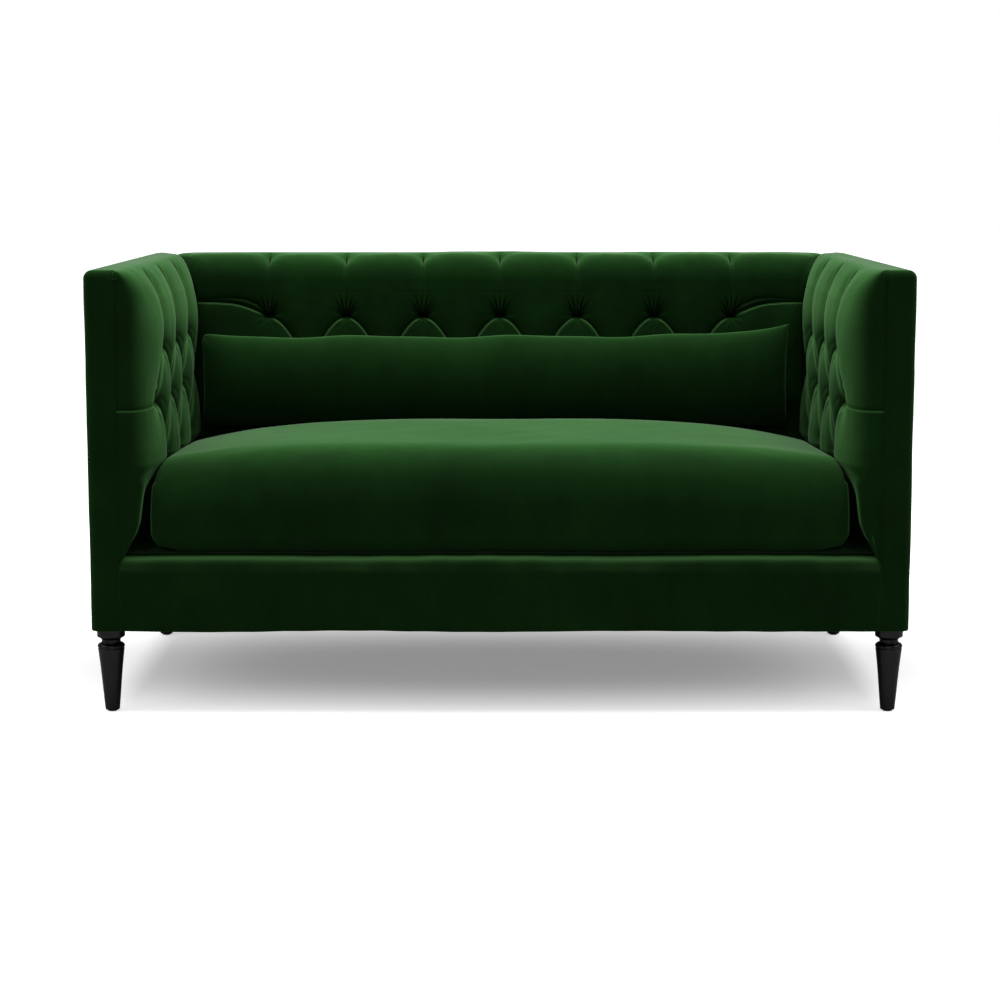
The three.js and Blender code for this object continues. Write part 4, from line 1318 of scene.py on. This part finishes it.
def endTree(sketch, geometry, slot):
    whole = sketch.add("GeometryNodeRealizeInstances", None, {0: geometry})
    coated = sketch.add("GeometryNodeSetMaterial", None, {"Geometry": whole, "Material": finishes[slot]})
    sketch.add("NodeGroupOutput", None, {0: coated})
    return sketch.tree


# The plain piece that a tree grows on an object, with its sizes set by their sockets' identifiers
def grow(piece, tree, sizes, sharp=40):
    modifier = piece.modifiers.new(tree.name, "NODES")
    modifier.node_group = tree
    for item in tree.interface.items_tree:
        if item.item_type == "SOCKET" and item.in_out == "INPUT" and item.name in sizes:
            modifier[item.identifier] = sizes[item.name]
    plainMesh(piece, piece.name)
    clean = bmesh.new()
    clean.from_mesh(piece.data)
    bmesh.ops.recalc_face_normals(clean, faces=clean.faces)
    clean.to_mesh(piece.data)
    clean.free()
    piece.data.shade_smooth()
    piece.data.set_sharp_from_angle(angle=math.radians(sharp))
    return piece


# Bare points, or closed or open paths of edges, for a tree to grow on
def pathObject(name, paths, closed=True, edges=True):
    points, links = [], []
    for path in paths:
        base = len(points)
        points += [tuple(map(float, place)) for place in path]
        if edges:
            links += [(base + i, base + i + 1) for i in range(len(path) - 1)]
            if closed:
                links.append((base + len(path) - 1, base))
    mesh = bpy.data.meshes.new(name)
    mesh.from_pydata(points, links, [])
    piece = bpy.data.objects.new(name, mesh)
    bpy.context.scene.collection.objects.link(piece)
    return piece


leg = {
    "places": [(-0.7312, -0.412), (0.7312, -0.412), (-0.7312, 0.314), (0.7312, 0.314)],
    "corners": ["front_left", "front_right", "rear_left", "rear_right"],
    "sizes": {"Foot": 0.0033, "Top": 0.1597, "Radius": 0.026, "Rings": 200, "Sides": 64},
    "profile": [
        (0.0, 0.50), (0.008, 0.52), (0.03, 0.532), (0.742, 0.945), (0.749, 0.952), (0.752, 0.94), (0.755, 0.918),
        (0.761, 0.918), (0.765, 0.95), (0.774, 0.973), (0.784, 0.970), (0.796, 0.935), (0.808, 0.88), (0.818, 0.74),
        (0.826, 0.69), (0.8465, 0.672), (0.864, 0.70), (0.880, 0.82), (0.888, 0.90), (0.896, 0.975), (0.905, 1.0),
        (0.986, 1.0), (0.995, 0.985), (1.0, 0.97),
    ],
    "glideSizes": {"Foot": 0.0, "Top": 0.003, "Radius": 0.009, "Rings": 12, "Sides": 32},
    "glideProfile": [(0.0, 0.83), (0.13, 0.955), (0.4, 1.0), (0.9, 1.0), (1.0, 0.945)],
}


# Turned wood: a profile of (height share, radius share) carried round an upright line at each point
def turnedTree(name, profile, slot):
    inputs = {"Foot": "Float", "Top": "Float", "Radius": "Float", "Rings": "Int", "Sides": "Int"}
    sketch, given = startTree(name, inputs)
    ends = [sketch.add("ShaderNodeCombineXYZ", None, {2: given[key]}) for key in ("Foot", "Top")]
    line = sketch.add("GeometryNodeCurvePrimitiveLine", None, {"Start": ends[0], "End": ends[1]})
    rings = sketch.add("GeometryNodeResampleCurve", None, {"Curve": line, "Count": given["Rings"]})
    rise = sketch.add("GeometryNodeSplineParameter")
    radius = sketch.add("ShaderNodeFloatCurve", {"profile": profile}, {"Value": rise}) * given["Radius"]
    circle = sketch.add("GeometryNodeCurvePrimitiveCircle", None, {"Resolution": given["Sides"], "Radius": 1.0})
    turned = sketch.add(
        "GeometryNodeCurveToMesh", None, {"Curve": rings, "Profile Curve": circle, "Scale": radius, "Fill Caps": True}
    )
    spread = sketch.add("GeometryNodeInstanceOnPoints", None, {"Points": given["Geometry"], "Instance": turned})
    return endTree(sketch, spread, slot)


def makeLegs():
    spots = [(x, y, 0.0) for x, y in leg["places"]]
    for name, profile, sizes, slot, node in (
        ("turnedLegs", leg["profile"], leg["sizes"], "leg_lacquer", "leg_"),
        ("legGlides", leg["glideProfile"], leg["glideSizes"], "glide_plastic", "glide_"),
    ):
        piece = grow(pathObject(name, [spots], edges=False), turnedTree(name + "Tree", profile, slot), sizes)
        dress(piece, slot, [node + corner for corner in leg["corners"]])


makeLegs()
print("stage: legs ready")


trims = {
    "weltInset": 0.0030,
    "weltLight": 0.38,
    "welt": {"Radius": 0.0015, "Step": 0.007, "Sides": 8},
    "zip": {"Length": 0.0032, "Width": 0.0014, "Thickness": 0.0016, "Step": 0.0046, "Apart": 0.0009},
    "zipHalf": 0.52,
    "zipLevel": 0.372,
    "staple": {"Length": 0.0100, "Width": 0.0007, "Thickness": 0.0005, "Step": 0.045, "Askew": 0.16, "Seed": 4},
    "stapleInset": 0.014,
}


# A round cord along each path
def cordTree(name, slot):
    sketch, given = startTree(name, {"Radius": "Float", "Step": "Float", "Sides": "Int"})
    path = sketch.add("GeometryNodeMeshToCurve", None, {0: given["Geometry"]})
    even = sketch.add("GeometryNodeResampleCurve", {"mode": "LENGTH"}, {"Curve": path, "Length": given["Step"]})
    circle = sketch.add(
        "GeometryNodeCurvePrimitiveCircle", None, {"Resolution": given["Sides"], "Radius": given["Radius"]}
    )
    cord = sketch.add("GeometryNodeCurveToMesh", None, {"Curve": even, "Profile Curve": circle})
    return endTree(sketch, cord, slot)


# Small bars along each path: askew at random, or set to either side in turn
def barTree(name, slot, alternate):
    inputs = {"Length": "Float", "Width": "Float", "Thickness": "Float", "Step": "Float"}
    inputs.update({"Apart": "Float"} if alternate else {"Askew": "Float", "Seed": "Int"})
    sketch, given = startTree(name, inputs)
    path = sketch.add("GeometryNodeMeshToCurve", None, {0: given["Geometry"]})
    even = sketch.add("GeometryNodeResampleCurve", {"mode": "LENGTH"}, {"Curve": path, "Length": given["Step"]})
    sizes = sketch.add("ShaderNodeCombineXYZ", None, {0: given["Length"], 1: given["Width"], 2: given["Thickness"]})
    if alternate:
        sizes = sketch.add("ShaderNodeCombineXYZ", None, {0: given["Width"], 1: given["Thickness"], 2: given["Length"]})
    bar = sketch.add("GeometryNodeMeshCube", None, {"Size": sizes})
    values = {"Points": even, "Instance": bar}
    if not alternate:
        tangent = sketch.add("GeometryNodeInputTangent")
        along = sketch.add("FunctionNodeAlignRotationToVector", {"axis": "X"}, {"Vector": tangent})
        chance = sketch.add(
            "FunctionNodeRandomValue", None, {2: given["Askew"] * -1.0, 3: given["Askew"], 8: given["Seed"]}, 1
        )
        turn = sketch.add("ShaderNodeCombineXYZ", None, {2: chance})
        askew = sketch.add("FunctionNodeEulerToRotation", None, {0: turn})
        values["Rotation"] = sketch.add("FunctionNodeRotateRotation", None, {0: along, 1: askew})
    placed = sketch.add("GeometryNodeInstanceOnPoints", None, values)
    if alternate:
        order = sketch.add("GeometryNodeInputIndex").calc("MODULO", 2.0)
        shift = sketch.add("ShaderNodeCombineXYZ", None, {2: (order - 0.5) * given["Apart"] * 2.0})
        placed = sketch.add("GeometryNodeTranslateInstances", None, {0: placed, 2: shift})
    return endTree(sketch, placed, slot)


# Where rays from a spine inside a piece meet its surface, round a section across the seat
def endLoop(tree, x, low, high, level, steps=14):
    turns = np.radians(np.linspace(90, 270, 40))
    rays = [(low, math.cos(a), math.sin(a)) for a in turns]
    rays += [(low + (high - low) * i / steps, 0, -1) for i in range(1, steps)]
    rays += [(high, math.cos(a + math.pi), math.sin(a + math.pi)) for a in turns]
    rays += [(high + (low - high) * i / steps, 0, 1) for i in range(1, steps)]
    path = []
    for y, dy, dz in rays:
        place, normal, face, distance = tree.ray_cast(Vector((x, y, level)), Vector((0, dy, dz)))
        path.append(place)
    return path


def makeTrims():
    soft = bpy.data.objects["benchSeatCushion"]
    tree = BVHTree.FromPolygons([v.co[:] for v in soft.data.vertices], [p.vertices[:] for p in soft.data.polygons])
    reach = cushion["high"][0] - trims["weltInset"]
    loops = [endLoop(tree, side * reach, -0.38, 0.24, 0.375) for side in (-1, 1)]
    welt = grow(pathObject("cushionEndWelts", loops), cordTree("weltTree", "velvet"), trims["welt"], 80)
    # the welts get a painted highlight all along
    shine = welt.data.attributes.new("rim", "FLOAT", "POINT")
    shine.data.foreach_set("value", np.full(len(welt.data.vertices), trims["weltLight"], np.float32))
    dress(welt, "velvet", ridesOn="seat_cushion")
    line = []
    for x in np.linspace(-trims["zipHalf"], trims["zipHalf"], 60):
        place, normal, face, distance = tree.ray_cast(Vector((x, 0.2, trims["zipLevel"])), Vector((0, 1, 0)))
        line.append(place)
    teeth = grow(pathObject("cushionZip", [line], closed=False), barTree("zipTree", "glide_plastic", True), trims["zip"])
    dress(teeth, "glide_plastic", ridesOn="seat_cushion")
    low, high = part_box("dust_cover")
    inset = trims["stapleInset"]
    level = (low.z + high.z) / 2 - 0.0004
    corners = [(low.x + inset, low.y + inset), (high.x - inset, low.y + inset), (high.x - inset, high.y - inset), (low.x + inset, high.y - inset)]
    ring = pathObject("dustCoverStaples", [[(x, y, level) for x, y in corners]])
    dress(grow(ring, barTree("stapleTree", "spring_steel", False), trims["staple"]), "spring_steel")


makeTrims()
print("stage: trims ready")


# A flat sheet of cloth in the place of a thin CAD board, with a slight sag
def clothSheet(name, node, thickness, sag, seed, slot, cells=(60, 40)):
    low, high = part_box(node)
    size = high - low
    thin = min(range(3), key=lambda axis: size[axis])
    one, two = [axis for axis in range(3) if axis != thin]
    shares = [np.linspace(0, 1, count + 1) for count in cells]
    a, b = np.meshgrid(shares[0], shares[1], indexing="ij")
    points = np.zeros(a.shape + (3,))
    points[..., one] = low[one] + a * size[one]
    points[..., two] = low[two] + b * size[two]
    points[..., thin] = (low[thin] + high[thin]) / 2
    dip = np.sin(a * math.pi) ** 0.7 * np.sin(b * math.pi) ** 0.7
    points[..., thin] += -sag * dip + waves(points, seed, [(0.25, sag * 0.2)]) * dip
    faces = gridFaces(cells[0] + 1, cells[1] + 1, closedRows=False)
    piece = meshObject(name, points, faces)
    wall = piece.modifiers.new("wall", "SOLIDIFY")
    wall.thickness = thickness
    wall.offset = 0
    plainMesh(piece, name)
    dress(piece, slot, [node])
    return piece


def makeDeck():
    low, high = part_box("deck_pad")
    size = high - low
    grid, faces = boxGrid((70, 40, 4))
    place = (np.array(low) + np.array(high)) / 2 + grid * np.array(size) / 2
    edge = np.minimum(1 - np.abs(grid[:, 0]) ** 30, 1 - np.abs(grid[:, 1]) ** 24)
    place[:, 2] = low.z + (place[:, 2] - low.z) * (0.97 + 0.03 * smooth(edge * 3))
    place[:, 2] -= np.maximum(0, grid[:, 2]) * (0.0012 - waves(place, 61, [(0.21, 0.0012), (0.07, 0.0004)]))
    paintedGapShade = 1.1 * smooth((np.abs(place[:, 0]) - 0.645) / 0.012)  # painted shade in the gap between cushion and arm
    piece = meshObject("deckPad", place, faces, 50, paintedGapShade)
    dress(piece, "velvet", ["deck_pad"])


makeDeck()
clothSheet("dustCover", "dust_cover", 0.0008, 0.0025, 71, "dust_cloth")
clothSheet("backBacking", "back_backing", 0.0016, 0.0004, 72, "hessian")
clothSheet("armBackingLeft", "arm_backing_left", 0.0014, 0.0002, 73, "hessian")
clothSheet("armBackingRight", "arm_backing_right", 0.0014, 0.0002, 74, "hessian")
print("stage: deck and sheets ready")


for subpart in frame["record"]["subparts"]:
    for holder in frame["nodes"][subpart["node"]].material_slots:
        holder.material = finishes[subpart["material_slot"]]


studio = {
    "camera": (0.0, -4.75, 1.021),
    "pitch": 81.87,
    "lens": 84.6,
    "floorShade": 0.80,
    "floorBounce": 0.35,
    "floorGlow": 0.25,
    "glowShape": (0.3, 1.0, 1.0),
    "glowFrom": 0.12,
    "glowTo": 0.80,
    "ambient": 0.42,
    "mirrored": 0.16,
    "lamps": {
        "overhead": {"place": (0.0, 0.0, 2.7), "size": (3.4, 2.4), "power": 115.0},
        "front": {"place": (0.0, -4.0, 2.2), "size": (3.0, 2.0), "power": 26.0},
        "left": {"place": (-3.0, -1.0, 2.0), "size": (2.4, 1.4), "power": 12.0},
        "right": {"place": (3.0, -1.0, 2.0), "size": (2.4, 1.4), "power": 12.0},
    },
}


def seenDirectly(sketch):
    rays = sketch.add("ShaderNodeLightPath").socket.node
    camera, through = (Wire(sketch, rays.outputs[name]) for name in ("Is Camera Ray", "Is Transmission Ray"))
    return (camera + through).calc("MINIMUM", 1.0)


def makeStudio():
    world = bpy.data.worlds.new("studioWorld")
    world.use_nodes = True
    world.node_tree.nodes.clear()
    sketch = Sketch(world.node_tree)
    strength = studio["ambient"] + seenDirectly(sketch) * (1.0 - studio["ambient"])
    glossy = Wire(sketch, sketch.add("ShaderNodeLightPath").socket.node.outputs["Is Glossy Ray"])
    strength = strength + glossy * (studio["mirrored"] - studio["ambient"])
    light = sketch.add("ShaderNodeBackground", None, {"Color": (1, 1, 1, 1), "Strength": strength})
    sketch.add("ShaderNodeOutputWorld", None, {"Surface": light})
    bpy.context.scene.world = world

    floorMaterial = bpy.data.materials.new("paleFloor")
    floorMaterial.use_nodes = True
    floorMaterial.node_tree.nodes.clear()
    sketch = Sketch(floorMaterial.node_tree)
    bounce = studio["floorBounce"]
    shade = bounce + seenDirectly(sketch) * (studio["floorShade"] - bounce)
    matt = sketch.add("ShaderNodeBsdfDiffuse", None, {"Color": shade})
    # The floor's glow is lower near the sofa and rises with distance: a painted shadow under the sofa, added to the
    # real one
    place = sketch.add("ShaderNodeTexCoord", output=3)
    squeezed = sketch.add("ShaderNodeVectorMath", {"operation": "MULTIPLY"}, {0: place, 1: studio["glowShape"]})
    away = sketch.add("ShaderNodeVectorMath", {"operation": "LENGTH"}, {0: squeezed}, 1)
    near, far = studio["glowFrom"], studio["glowTo"]
    paintedShadowFade = sketch.add("ShaderNodeMapRange", {"interpolation_type": "SMOOTHSTEP"}, {0: away, 1: near, 2: far})
    strength = studio["floorGlow"] + paintedShadowFade * (1.0 - studio["floorGlow"])
    lit = seenDirectly(sketch) * strength
    glow = sketch.add("ShaderNodeEmission", None, {"Color": (1, 1, 1, 1), "Strength": lit})
    both = sketch.add("ShaderNodeAddShader", None, {0: matt, 1: glow})
    sketch.add("ShaderNodeOutputMaterial", None, {"Surface": both})
    reach = 30.0
    floor = meshObject("studioFloor", [(-reach, -reach, 0), (reach, -reach, 0), (reach, reach, 0), (-reach, reach, 0)], [(0, 1, 2, 3)])
    floor.data.materials.append(floorMaterial)

    for name, facts in studio["lamps"].items():
        lamp = bpy.data.lights.new(name + "Softbox", "AREA")
        lamp.shape = "RECTANGLE"
        lamp.size, lamp.size_y = facts["size"]
        lamp.energy = facts["power"]
        holder = bpy.data.objects.new(name + "Softbox", lamp)
        holder.location = facts["place"]
        aim = Vector((0, 0, 0.4)) - Vector(facts["place"])
        holder.rotation_euler = aim.to_track_quat("-Z", "Y").to_euler()
        bpy.context.scene.collection.objects.link(holder)

    lens = bpy.data.cameras.new("studioCamera")
    lens.lens = studio["lens"]
    lens.sensor_width = 36.0
    lens.sensor_fit = "HORIZONTAL"
    camera = bpy.data.objects.new("studioCamera", lens)
    camera.location = studio["camera"]
    camera.rotation_euler = (math.radians(studio["pitch"]), 0, 0)
    bpy.context.scene.collection.objects.link(camera)
    bpy.context.scene.camera = camera
    bpy.context.scene.view_settings.view_transform = "Standard"


makeStudio()
print("stage: studio ready")
